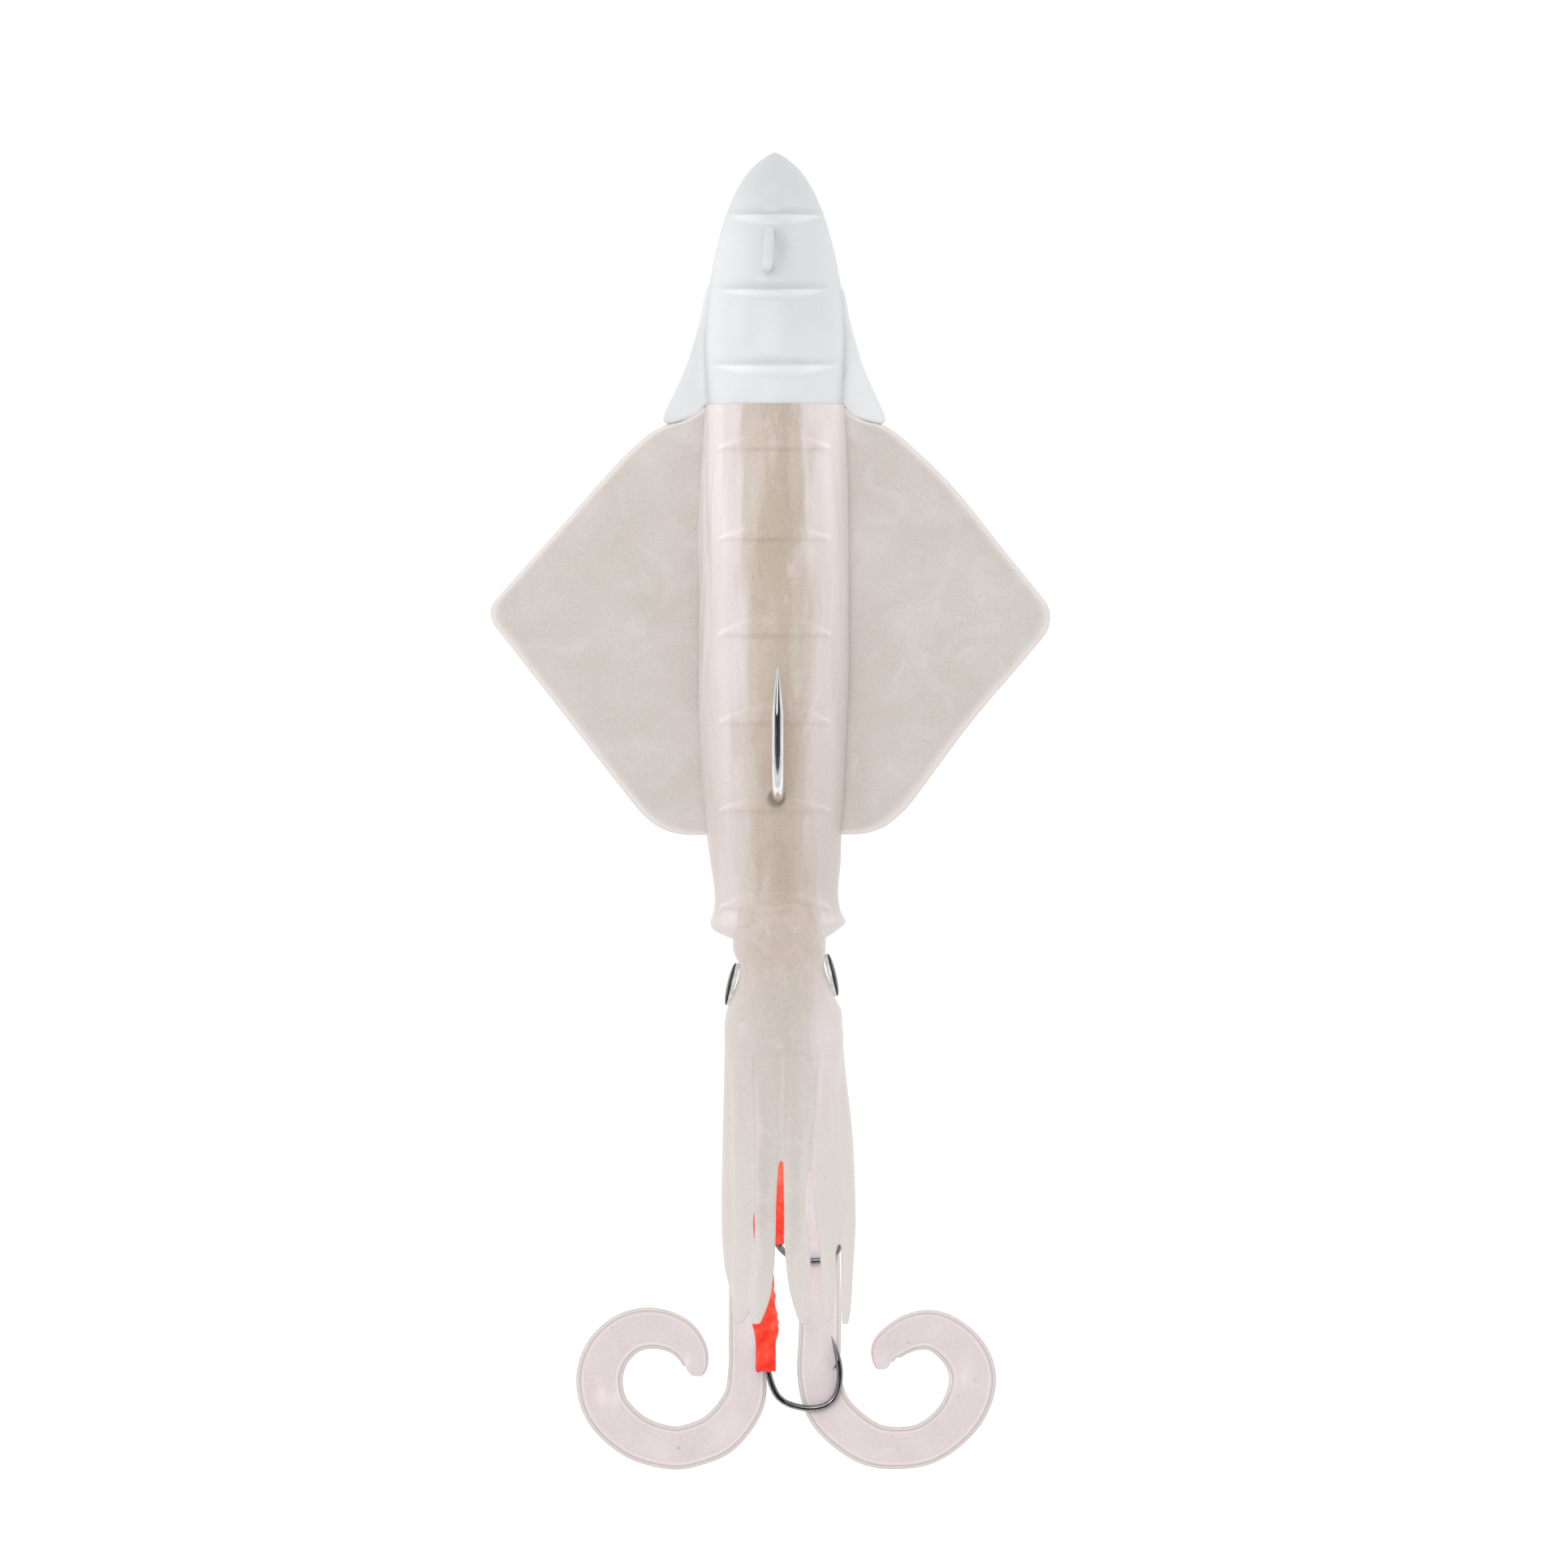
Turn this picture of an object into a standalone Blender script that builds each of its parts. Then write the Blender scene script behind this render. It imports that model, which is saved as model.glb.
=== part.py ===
"""Soft plastic squid fishing lure with a lead head, lying on its belly, nose along +Y.

The named sizes are in millimetres. MM turns each point into metres as its mesh is made.
"""

import math

import bmesh
import bpy
from mathutils import Vector

MM = 0.001
WELD = 1e-6  # metres within which points are merged
GAP = 0.3  # air between neighbouring solids
SHARP_ANGLE = 40  # edges that turn more than this many degrees stay crisp

# Body, lead head and mantle: both are ovals round one axis, cut flat where they touch the floor
NOSE_Y = 121.9
JOIN_Y = 75.2  # lead head meets mantle
BODY_POINTS = 36
UP_SHARE = 0.94  # height of the back above the axis, as a share of the half width
DOWN_SHARE = 0.97
BODY_AXIS = ((-24, 11.4), (-10, 12.0), (30, 13.0), (75, 12.6), (100, 12.0), (122, 10.6))  # y, z

# Lead head: a blunt ogive that swells over OGIVE_LENGTH and then narrows a little to its rear edge
OGIVE_LENGTH = 37.5
OGIVE_HALF_WIDTH = 13.1
OGIVE_POWER = 0.571
HEAD_REAR_HALF_WIDTH = 12.5
LEAD_AXIS_X = 0.8
LEAD_STATIONS = (0, 0.7, 2, 4, 6.5, 9.5, 15.5, 19, 22.5, 30, 34, 37.5, 43.5)  # behind the nose tip
LEAD_GROOVES = (109.7, 95.8, 81.8)

# Wings of the lead head, x and y of the outline from the front root round to the rear root
WING_LEFT = (
    (-6, 97.4), (-11.3, 97.4), (-13.2, 90.5), (-15.7, 82.3), (-19.6, 73.7),
    (-20.0, 72.2), (-19.3, 71.5), (-16.4, 72.1), (-14.0, 73.0), (-13.0, 74.1), (-12.2, 75.6), (-6, 75.6),
)
WING_RIGHT = (
    (7, 97.4), (12.8, 97.4), (14.8, 90.5), (17.2, 82.3), (21.0, 73.7),
    (21.4, 72.2), (20.7, 71.5), (17.7, 72.1), (15.3, 73.0), (14.4, 74.1), (13.6, 75.6), (7, 75.6),
)
WING_THICKNESS = 2.4
PLATE_Z = 12.4  # middle of the wings and the fins

# Mantle: y, axis x, half width, from the join to the end behind the flared rim
MANTLE = (
    (-23.7, 1.4, 8.4), (-22.1, 0.9, 11.3), (-20.6, 1.35, 12.5), (-18.4, 1.2, 11.75),
    (-15.2, 1.05, 11.45), (-9.2, 0.9, 12.1), (-4, 0.6, 12.5), (2.8, 0.55, 13.05), (13, 0.3, 13.65),
    (26, 0.45, 14.05), (38, 0.45, 14.05), (54, 0.55, 13.95), (66, 0.7, 13.5), (74.9, 0.75, 12.95),
)
MANTLE_STATIONS = (74.9, 73.5, 60, 43, 26, 9, -7, -12, -19.3, -20.6, -21.3, -22.1, -22.9, -23.7)
MANTLE_FOLDS = (68.2, 51.4, 34.4, 17.6, 1.0, -16.1)
CREASE_HALF_WIDTH = 0.7
CREASE_END = math.sin(math.radians(38))  # how far round the back a groove or a fold runs
LEAD_GROOVE_DEPTH = 0.6
MANTLE_FOLD_HEIGHT = 0.35

# Fins, x and y of the outline from the front root round to the rear root
FIN_LEFT = (
    (-8, 73.3), (-13.2, 73.3), (-14.4, 72.4), (-16.6, 71.6), (-19.4, 71.0), (-22.4, 69.6), (-25.3, 67.4),
    (-28.3, 64.4), (-49.7, 40.4), (-51.3, 38.5), (-51.7, 36.9), (-51.2, 34.6), (-48.8, 31.4), (-25.4, 1.4),
    (-22.6, -1.6), (-19.6, -3.5), (-16.4, -4.3), (-12, -4.4), (-8, -4.4),
)
FIN_RIGHT = (
    (8, 73.3), (14.6, 73.3), (15.8, 72.4), (17.9, 71.6), (20.8, 71.0), (23.6, 69.5), (26.2, 67.4),
    (29.4, 64.4), (34.8, 58.8), (50.5, 39.2), (51.5, 37.4), (51.7, 35.5), (51.1, 33.2), (47.3, 28.4),
    (36.8, 16.0), (25.9, 1.4), (24.1, -0.5), (21.4, -2.7), (18.4, -3.9), (15.4, -4.3), (8, -4.2),
)
FIN_THICKNESS = 2.2
FIN_DROOP = 0.0010  # sag in mm for each square mm beyond the flank
FIN_FLANK = 13.0
FIN_FOLDS = (18, 24, 30, 36, 42, 47)  # distances from the middle where the fin bends
PLATE_ROUNDING = 0.6

# Head behind the mantle: y, middle x, half width, underside z, top z
HEAD = (
    (-63, 2.2, 5.0, 8.2, 11.4), (-55, 2.6, 7.8, 7.0, 14.4), (-51, 2.6, 9.4, 3.4, 16.2),
    (-47.5, 2.5, 10.4, 1.8, 17.6), (-43, 2.5, 11.0, 1.3, 18.8), (-39, 2.4, 10.9, 1.2, 19.5),
    (-36.6, 2.5, 10.55, 1.5, 19.9), (-34.4, 2.3, 9.6, 1.8, 20.4), (-28.5, 1.9, 8.0, 2.2, 21.8),
    (-26, 1.65, 8.5, 2.4, 22.6), (-23, 1.65, 8.5, 2.4, 23.5), (-20.5, 1.5, 8.1, 2.6, 23.9),
    (-18.4, 1.4, 7.6, 3.0, 23.3), (-17.0, 1.4, 7.2, 4.0, 22.4),
)
HEAD_STATIONS = (
    -17, -18.4, -20.5, -23, -26, -28.5, -31, -34, -35.5, -36.6, -39, -41.5, -44, -47.5, -51, -55, -59, -63,
)
HEAD_POINTS = 28
HEAD_SQUARENESS = 2.8

# Arms: y, x, half width, z, half height, from the tip to the crown of the head
ARMS = {
    "L1": (
        (-94.9, -2.7, 0.7, 8.6, 0.6), (-93.3, -2.5, 1.3, 8.8, 0.9), (-90, -1.9, 1.8, 9.1, 1.2),
        (-86, -1.4, 1.9, 9.6, 1.5), (-80, -1.1, 2.0, 10.2, 1.8), (-72, -0.95, 2.2, 11.3, 2.2),
        (-65, -0.5, 2.55, 12.3, 2.5), (-56, -0.1, 3.0, 13.9, 2.9), (-47, 0.0, 3.1, 15.1, 3.1),
        (-41, 0.2, 3.1, 15.4, 3.0),
    ),
    "R1": (
        (-94.9, 6.1, 0.7, 8.2, 0.6), (-93, 6.0, 1.3, 8.4, 0.9), (-88.6, 5.45, 1.95, 8.9, 1.3),
        (-83.5, 5.1, 2.3, 9.5, 1.6), (-78.2, 4.8, 2.3, 10.3, 1.9), (-73, 4.45, 2.0, 11.1, 2.1),
        (-65, 4.55, 2.6, 12.3, 2.5), (-56, 5.2, 2.8, 13.9, 2.9), (-47, 5.6, 3.1, 15.1, 3.1),
        (-41, 5.4, 3.1, 15.4, 3.0),
    ),
    "L2": (
        (-94.7, -6.5, 0.5, 6.9, 0.6), (-91.3, -6.0, 1.2, 7.2, 1.1), (-84, -5.1, 1.8, 7.9, 1.6),
        (-75, -4.9, 2.0, 8.9, 2.1), (-60, -4.9, 2.4, 11.0, 2.9), (-47, -4.6, 2.9, 13.0, 3.5),
        (-41, -4.2, 3.0, 13.4, 3.6),
    ),
    "R2": (
        (-94.5, 10.7, 0.6, 6.2, 0.6), (-91, 10.7, 1.2, 6.5, 1.1), (-82.5, 10.8, 1.6, 7.4, 1.5),
        (-78, 10.8, 2.2, 8.0, 1.8), (-72, 10.7, 2.85, 8.9, 2.1), (-66, 10.5, 3.0, 10.0, 2.4),
        (-56, 10.1, 2.7, 11.6, 2.9), (-47, 9.6, 2.8, 13.0, 3.5), (-41, 9.2, 3.0, 13.4, 3.6),
    ),
    "L3": (
        (-92, -6.1, 0.5, 5.4, 0.6), (-88, -6.5, 1.2, 5.6, 1.2), (-84, -7.0, 1.6, 6.0, 1.8),
        (-75, -7.45, 1.7, 6.6, 2.4), (-60, -7.0, 1.9, 7.6, 3.3), (-47, -6.4, 2.2, 8.6, 4.2),
        (-41, -5.9, 2.6, 8.8, 4.6),
    ),
    "R3": (
        (-95.0, 13.7, 0.5, 5.9, 0.6), (-91, 14.0, 0.8, 6.1, 1.1), (-84, 14.1, 1.1, 6.4, 1.5),
        (-75, 14.1, 1.6, 7.0, 2.3), (-60, 13.2, 2.0, 7.8, 3.3), (-47, 11.6, 2.2, 8.6, 4.2),
        (-41, 10.7, 2.6, 8.8, 4.6),
    ),
    "L4": (
        (-86, -6.6, 0.5, 4.5, 0.6), (-75, -6.9, 1.5, 4.8, 1.4), (-60, -6.4, 2.0, 4.9, 1.9),
        (-47, -5.9, 2.4, 4.6, 2.6), (-41, -5.3, 2.6, 4.8, 2.8),
    ),
    "R4": (
        (-68, 14.0, 0.6, 5.2, 0.6), (-65, 13.8, 1.3, 5.2, 1.4), (-58, 12.9, 2.0, 5.0, 2.1),
        (-47, 11.2, 2.4, 4.6, 2.7), (-41, 10.2, 2.6, 4.8, 2.8),
    ),
}
ARM_POINTS = 12
ARM_STATIONS = 10
ARM_SQUARENESS = 2.5

# Tentacles: x, y, width of a flat ribbon on the floor, from under the crown to the curled tip
TENTACLE_LEFT = (
    (-2.9, -46.6, 5.5), (-3.7, -60.1, 6.0), (-4.3, -75.1, 6.4), (-4.4, -90.1, 6.6), (-4.3, -97.6, 6.9),
    (-4.3, -103.6, 7.1), (-5.1, -109.5, 7.8), (-9.2, -115.0, 8.2), (-14.3, -117.4, 8.0),
    (-18.8, -117.9, 8.0), (-25.1, -115.9, 8.2), (-30.2, -111.1, 8.4), (-31.7, -105.4, 8.6),
    (-30.2, -100.3, 8.4), (-26.5, -96.8, 7.9), (-22.0, -95.8, 7.6), (-17.5, -97.0, 7.0),
    (-14.8, -99.7, 6.0), (-13.9, -102.7, 4.6), (-14.5, -104.6, 2.2),
)
TENTACLE_RIGHT = (
    (7.6, -46.6, 5.5), (8.5, -60.1, 6.2), (9.1, -75.1, 6.8), (9.2, -90.1, 7.6), (9.1, -97.6, 7.8),
    (9.0, -104.3, 8.1), (10.4, -110.1, 8.3), (13.7, -114.1, 8.3), (18.4, -117.2, 8.1),
    (23.3, -118.0, 7.8), (28.6, -117.2, 7.8), (33.1, -114.2, 8.0), (36.2, -110.0, 8.5),
    (37.4, -104.9, 8.7), (35.6, -100.1, 8.3), (31.0, -96.5, 7.6), (26.3, -96.5, 7.0),
    (21.8, -99.2, 5.9), (20.8, -101.8, 4.0), (21.2, -103.4, 1.8),
)
TENTACLE_HEIGHT = 2.4
TENTACLE_EDGE = 0.6
TENTACLE_EDGE_SHARE = 0.6  # the chamfer's share of the half width where the ribbon is narrow
STEPS_PER_KNOT = 2

# Stick-on eyes: the middle of the flat back, and the way that the dome faces
EYE_RADIUS = 4.0
EYE_RIM = 0.9
EYE_DOME = 0.7
EYE_Z = 11.2
EYE_SINK = 0.2
EYE_BACK_EDGE = 0.15
EYE_TURN = 13  # degrees that each eye looks forwards
EYES = {
    "eye_left": ((-6.7, -32.1), 180 - EYE_TURN),
    "eye_right": ((10.8, -30.4), EYE_TURN),
}
EYE_STEPS = 28
EYE_DOME_ANGLES = (0, 18, 36, 54, 72, 90)

WIRE_BEVEL = 2  # rounding steps of every wire

# Line tie: an upside-down U of painted wire that stands on the lead head
LINE_EYE_X = -0.5
LINE_EYE_Y = 103.7
LINE_EYE_WIRE = 1.7
LINE_EYE_BEND = 3.35  # bend radius of the wire's middle
LINE_EYE_ROOT_Z = 19.2
LINE_EYE_BEND_Z = 26.4
LINE_EYE_STEP = 15  # degrees from one point of the bend to the next

# Main hook: an arc out of the back, then a straight point towards the nose
HOOK_X = 1.3
HOOK_WIRE = 2.25
HOOK_BEND = 10.5
HOOK_BEND_Y = 12.4
HOOK_BEND_Z = 20.8
HOOK_TIP = (26.9, 32.6)  # y, z
HOOK_TAPER = 9.0  # length of the sharpened end
HOOK_START_ANGLE = 176
HOOK_END_ANGLE = 98
HOOK_STEP = 6
HOOK_POINT = ((1.0, 1.0), (0.6, 0.76), (0.25, 0.46), (0.0, 0.08))  # taper left, thickness, as shares

# Stinger hooks: x and y of the wire's middle, from inside the sleeve round the bend to the point
STINGER_ROUTE = (
    (-1.0, -99.4), (-0.7, -102.4), (-0.1, -105.2), (0.9, -107.7), (2.4, -109.3), (4.6, -110.2), (7.2, -110.6),
    (9.8, -110.2), (11.6, -108.9), (12.5, -106.9), (12.8, -104.2), (12.5, -101.6), (11.9, -99.2),
    (11.2, -97.1),
)
STINGER_WIRE = 1.2
STINGER_Z = 3.4
STINGER_TAPER = 5.0
STINGER_POINT_SIZE = 0.1
STINGER_SHIFT = {"stinger_hook_lower": (0, 0), "stinger_hook_upper": (0.6, 27.3)}

# Shrink sleeves: y, x, half width, half height, from the hook's end up under the arms
SLEEVES = {
    "shrink_sleeve_lower": (
        (-103.6, -0.9, 1.9, 1.75), (-97.4, -0.9, 1.9, 1.8), (-96.2, -0.75, 2.25, 1.9),
        (-94.0, -0.7, 2.2, 1.85), (-91.6, -0.2, 1.2, 1.5), (-88.8, -0.1, 0.9, 1.2), (-85.2, -0.2, 0.4, 0.6),
    ),
    "shrink_sleeve_upper": (
        (-80.1, -0.3, 2.8, 2.1), (-72, -0.2, 2.75, 2.1), (-66, 0.4, 2.4, 1.9), (-60, 1.2, 1.9, 1.6),
        (-55.6, 1.5, 1.6, 1.4),
    ),
}
SLEEVE_FLOOR_Z = 2.75
SLEEVE_POINTS = 14


def value_at(knots, place):
    """The values at this place on a smooth curve through (place, value, ...) knots."""
    last = len(knots) - 1
    k = 0
    while k < last - 1 and knots[k + 1][0] <= place:
        k += 1
    here, there = knots[k], knots[k + 1]
    before, after = knots[max(k - 1, 0)], knots[min(k + 2, last)]
    span = there[0] - here[0]
    t = (place - here[0]) / span
    values = []
    for i in range(1, len(here)):
        slope_here = span * (there[i] - before[i]) / (there[0] - before[0])
        slope_there = span * (after[i] - here[i]) / (after[0] - here[0])
        values.append(
            here[i] * (2 * t**3 - 3 * t**2 + 1)
            + slope_here * (t**3 - 2 * t**2 + t)
            + there[i] * (3 * t**2 - 2 * t**3)
            + slope_there * (t**3 - t**2)
        )
    return values


def smooth_route(knots, steps):
    """Points on a smooth curve through the knots, with this many steps from each knot to the next."""
    numbered = [(i, *knot) for i, knot in enumerate(knots)]
    count = (len(knots) - 1) * steps
    return [value_at(numbered, i / steps) for i in range(count + 1)]


def oval(y, x, z, half_width, up, down, points, squareness=2.0, cut=0.0):
    """A ring across the Y axis, no lower than the floor, pressed in by cut over its back."""
    ring = []
    for i in range(points):
        angle = 2 * math.pi * i / points
        side = math.copysign(abs(math.cos(angle)) ** (2 / squareness), math.cos(angle))
        rise = math.copysign(abs(math.sin(angle)) ** (2 / squareness), math.sin(angle))
        press = cut * math.sqrt(max(0.0, (math.sin(angle) - CREASE_END) / (1 - CREASE_END)))
        height = (up if rise > 0 else down) - press
        ring.append(Vector((x + (half_width - press) * side, y, max(z + height * rise, 0.0))) * MM)
    return ring


def new_object(name, mesh, collection, material=None):
    obj = bpy.data.objects.new(name, mesh)
    collection.objects.link(obj)
    if material:
        mesh.materials.append(material)
    return obj


def mesh_from(bm, name):
    bmesh.ops.recalc_face_normals(bm, faces=bm.faces)
    mesh = bpy.data.meshes.new(name)
    bm.to_mesh(mesh)
    bm.free()
    return mesh


def loft(name, rings, collection):
    """A closed solid through rings with the same number of points."""
    bm = bmesh.new()
    loops = [[bm.verts.new(point) for point in ring] for ring in rings]
    for near, far in zip(loops, loops[1:]):
        for i in range(len(near)):
            j = (i + 1) % len(near)
            bm.faces.new((near[i], near[j], far[j], far[i]))
    bm.faces.new(loops[0])
    bm.faces.new(loops[-1])
    return new_object(name, mesh_from(bm, name), collection)


def plate(name, outline, thickness, folds, collection):
    """A flat plate with a rounded rim, bent down a little beyond the flank."""
    bm = bmesh.new()
    bottom = PLATE_Z - thickness / 2
    face = bm.faces.new([bm.verts.new(Vector((x, y, bottom)) * MM) for x, y in outline])
    raised = bmesh.ops.extrude_face_region(bm, geom=[face])["geom"]
    top = [v for v in raised if isinstance(v, bmesh.types.BMVert)]
    bmesh.ops.translate(bm, verts=top, vec=(0, 0, thickness * MM))
    rim = [e for e in bm.edges if len({round(v.co.z, 7) for v in e.verts}) == 1]
    bmesh.ops.bevel(
        bm, geom=rim, offset=PLATE_ROUNDING * MM, segments=1, profile=0.5, affect="EDGES", material=-1
    )
    for fold in folds:
        for side in (-1, 1):
            bmesh.ops.bisect_plane(
                bm,
                geom=bm.verts[:] + bm.edges[:] + bm.faces[:],
                plane_co=(side * fold * MM, 0, 0),
                plane_no=(1, 0, 0),
            )
    for vert in bm.verts:
        beyond = max(0.0, abs(vert.co.x) / MM - FIN_FLANK)
        vert.co.z -= FIN_DROOP * beyond**2 * MM
    return new_object(name, mesh_from(bm, name), collection)


def wire(name, points, diameter, sizes, collection):
    """A wire through points, each with its share of the diameter, as a closed mesh."""
    curve = bpy.data.curves.new(name, "CURVE")
    curve.dimensions = "3D"
    curve.bevel_depth = diameter / 2 * MM
    curve.bevel_resolution = WIRE_BEVEL
    curve.use_fill_caps = True
    spline = curve.splines.new("POLY")
    spline.points.add(len(points) - 1)
    for point, place, size in zip(spline.points, points, sizes):
        point.co = (*(Vector(place) * MM), 1)
        point.radius = size
    guide = bpy.data.objects.new(name + "_path", curve)
    collection.objects.link(guide)
    bpy.context.view_layer.update()
    mesh = bpy.data.meshes.new_from_object(guide.evaluated_get(bpy.context.evaluated_depsgraph_get()))
    bpy.data.objects.remove(guide)
    bm = bmesh.new()
    bm.from_mesh(mesh)
    bmesh.ops.remove_doubles(bm, verts=bm.verts, dist=WELD)
    bpy.data.meshes.remove(mesh)
    return new_object(name, mesh_from(bm, name), collection)


def boolean(obj, operation, others, solver="EXACT"):
    """Applies a union with, or a difference from, the other objects, and removes them."""
    helpers = bpy.data.collections.new("helpers")
    bpy.context.scene.collection.children.link(helpers)
    for other in others:
        for holder in other.users_collection:
            holder.objects.unlink(other)
        helpers.objects.link(other)
    modifier = obj.modifiers.new(operation.lower(), "BOOLEAN")
    modifier.operation = operation
    modifier.operand_type = "COLLECTION"
    modifier.collection = helpers
    modifier.solver = solver
    bpy.context.view_layer.update()
    old = obj.data
    result = bpy.data.meshes.new_from_object(obj.evaluated_get(bpy.context.evaluated_depsgraph_get()))
    obj.modifiers.clear()
    obj.data = result
    bpy.data.meshes.remove(old)
    for other in others:
        bpy.data.objects.remove(other)
    bpy.data.collections.remove(helpers)


def material(name, colour, roughness, metallic=0.0):
    made = bpy.data.materials.new(name)
    made.use_nodes = True
    shader = made.node_tree.nodes["Principled BSDF"]
    shader.inputs["Base Color"].default_value = (*colour, 1)
    shader.inputs["Roughness"].default_value = roughness
    shader.inputs["Metallic"].default_value = metallic
    made.diffuse_color = (*colour, 1)
    return made


def finish(obj, name, look):
    """Names a finished sub-part, gives it its material and shades it smooth."""
    obj.name = name
    obj.data.name = name
    obj.data.materials.clear()
    obj.data.materials.append(look)
    obj.data.shade_smooth()
    obj.data.set_sharp_from_angle(angle=math.radians(SHARP_ANGLE))


def body_rings(stations, creases, cut, width_at):
    """Rings of the lead head or the mantle, with three close rings at each groove or fold."""
    places = [(y, 0.0) for y in stations]
    for y in creases:
        places += [(y + CREASE_HALF_WIDTH, 0.0), (y, cut), (y - CREASE_HALF_WIDTH, 0.0)]
    rings = []
    for y, press in sorted(places, reverse=True):
        x, half_width = width_at(y)
        (z,) = value_at(BODY_AXIS, y)
        up, down = UP_SHARE * half_width, DOWN_SHARE * half_width
        rings.append(oval(y, x, z, half_width, up, down, BODY_POINTS, cut=press))
    return rings


def lead_width(y):
    behind = max(NOSE_Y - y, 0.02)
    if behind < OGIVE_LENGTH:
        share = (1 - (1 - behind / OGIVE_LENGTH) ** 2) ** OGIVE_POWER
        return LEAD_AXIS_X, OGIVE_HALF_WIDTH * share
    rear = (behind - OGIVE_LENGTH) / (NOSE_Y - JOIN_Y - OGIVE_LENGTH)
    return LEAD_AXIS_X, OGIVE_HALF_WIDTH + rear * (HEAD_REAR_HALF_WIDTH - OGIVE_HALF_WIDTH)


def make_lead_head(collection, look):
    stations = [NOSE_Y - behind for behind in LEAD_STATIONS] + [JOIN_Y]
    head = loft("lead", body_rings(stations, LEAD_GROOVES, LEAD_GROOVE_DEPTH, lead_width), collection)
    wings = [
        plate("wing_left", WING_LEFT, WING_THICKNESS, (), collection),
        plate("wing_right", WING_RIGHT, WING_THICKNESS, (), collection),
    ]
    boolean(head, "UNION", wings)
    boolean(head, "DIFFERENCE", [line_eye_wire(LINE_EYE_WIRE + 2 * GAP, GAP, collection)])
    finish(head, "lead_head", look)


def line_eye_wire(diameter, deeper, collection):
    """The line tie's wire, or a thicker and deeper one that cuts its two sockets."""
    root = LINE_EYE_ROOT_Z - deeper
    points = [(LINE_EYE_X, LINE_EYE_Y + LINE_EYE_BEND, root)]
    for degrees in range(0, 181, LINE_EYE_STEP):
        angle = math.radians(degrees)
        y = LINE_EYE_Y + LINE_EYE_BEND * math.cos(angle)
        points.append((LINE_EYE_X, y, LINE_EYE_BEND_Z + LINE_EYE_BEND * math.sin(angle)))
    points.append((LINE_EYE_X, LINE_EYE_Y - LINE_EYE_BEND, root))
    return wire("line_tie", points, diameter, [1.0] * len(points), collection)


def main_hook_wire(diameter, start_angle, collection):
    """The hook's bare point, or a thicker wire that starts deeper and cuts its hole in the back."""
    angles = range(start_angle, HOOK_END_ANGLE - 1, -HOOK_STEP)
    points = []
    for degrees in angles:
        angle = math.radians(degrees)
        y = HOOK_BEND_Y + HOOK_BEND * math.cos(angle)
        points.append((HOOK_X, y, HOOK_BEND_Z + HOOK_BEND * math.sin(angle)))
    bend_end, tip = Vector(points[-1]), Vector((HOOK_X, *HOOK_TIP))
    straight = (tip - bend_end).length
    sizes = [1.0] * len(points)
    for left, size in HOOK_POINT:
        points.append(tuple(tip.lerp(bend_end, left * HOOK_TAPER / straight)))
        sizes.append(size)
    return wire("hook", points, diameter, sizes, collection)


def stinger_wire(shift, diameter, collection):
    """A stinger hook that lies flat, or a thicker one that cuts the hole in its sleeve."""
    route = smooth_route(STINGER_ROUTE, STEPS_PER_KNOT)
    points = [(x + shift[0], y + shift[1], STINGER_Z) for x, y in route]
    tip = Vector(points[-1])
    shares = [(Vector(point) - tip).length / STINGER_TAPER for point in points]
    sizes = [max(STINGER_POINT_SIZE, min(1.0, share)) for share in shares]
    return wire("stinger", points, diameter, sizes, collection)


def make_hooks(collection, nickel, white):
    finish(line_eye_wire(LINE_EYE_WIRE, 0, collection), "line_eye", white)
    finish(main_hook_wire(HOOK_WIRE, HOOK_START_ANGLE, collection), "main_hook", nickel)
    for name, shift in STINGER_SHIFT.items():
        finish(stinger_wire(shift, STINGER_WIRE, collection), name, nickel)


def make_sleeves(collection, look):
    for (name, knots), shift in zip(SLEEVES.items(), STINGER_SHIFT.values()):
        rings = []
        for y, x, half_width, half_height in knots:
            z = SLEEVE_FLOOR_Z + max(half_height, SLEEVES[name][0][3])
            rings.append(oval(y, x, z, half_width, half_height, half_height, SLEEVE_POINTS))
        sleeve = loft(name, rings, collection)
        boolean(sleeve, "DIFFERENCE", [stinger_wire(shift, STINGER_WIRE + 2 * GAP, collection)])
        finish(sleeve, name, look)


def ribbon_rings(knots):
    """Rings across a flat ribbon on the floor, with chamfered edges."""
    route = smooth_route(knots, STEPS_PER_KNOT)
    high, edge = TENTACLE_HEIGHT, TENTACLE_EDGE
    rings = []
    for i, (x, y, width) in enumerate(route):
        before, after = route[max(i - 1, 0)], route[min(i + 1, len(route) - 1)]
        along = Vector((after[0] - before[0], after[1] - before[1], 0)).normalized()
        across = Vector((-along.y, along.x, 0))
        half = width / 2
        chamfer = min(edge, TENTACLE_EDGE_SHARE * half)
        profile = (
            (chamfer - half, 0), (-half, chamfer), (-half, high - chamfer), (chamfer - half, high),
            (half - chamfer, high), (half, high - chamfer), (half, chamfer), (half - chamfer, 0),
        )
        rings.append([(Vector((x, y, z)) + across * side) * MM for side, z in profile])
    return rings


def arm_rings(knots):
    tip, root = knots[0][0], knots[-1][0]
    rings = []
    for i in range(ARM_STATIONS + 1):
        y = root + (tip - root) * math.sin(math.pi / 2 * i / ARM_STATIONS)
        x, half_width, z, half_height = value_at(knots, y)
        rings.append(oval(y, x, z, half_width, half_height, half_height, ARM_POINTS, ARM_SQUARENESS))
    return rings


def head_rings():
    rings = []
    for y in HEAD_STATIONS:
        x, half_width, low, top = value_at(HEAD, y)
        z = (low + top) / 2
        half_height = (top - low) / 2
        rings.append(oval(y, x, z, half_width, half_height, half_height, HEAD_POINTS, HEAD_SQUARENESS))
    return rings


def mantle_width(y):
    return value_at(MANTLE, y)


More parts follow.
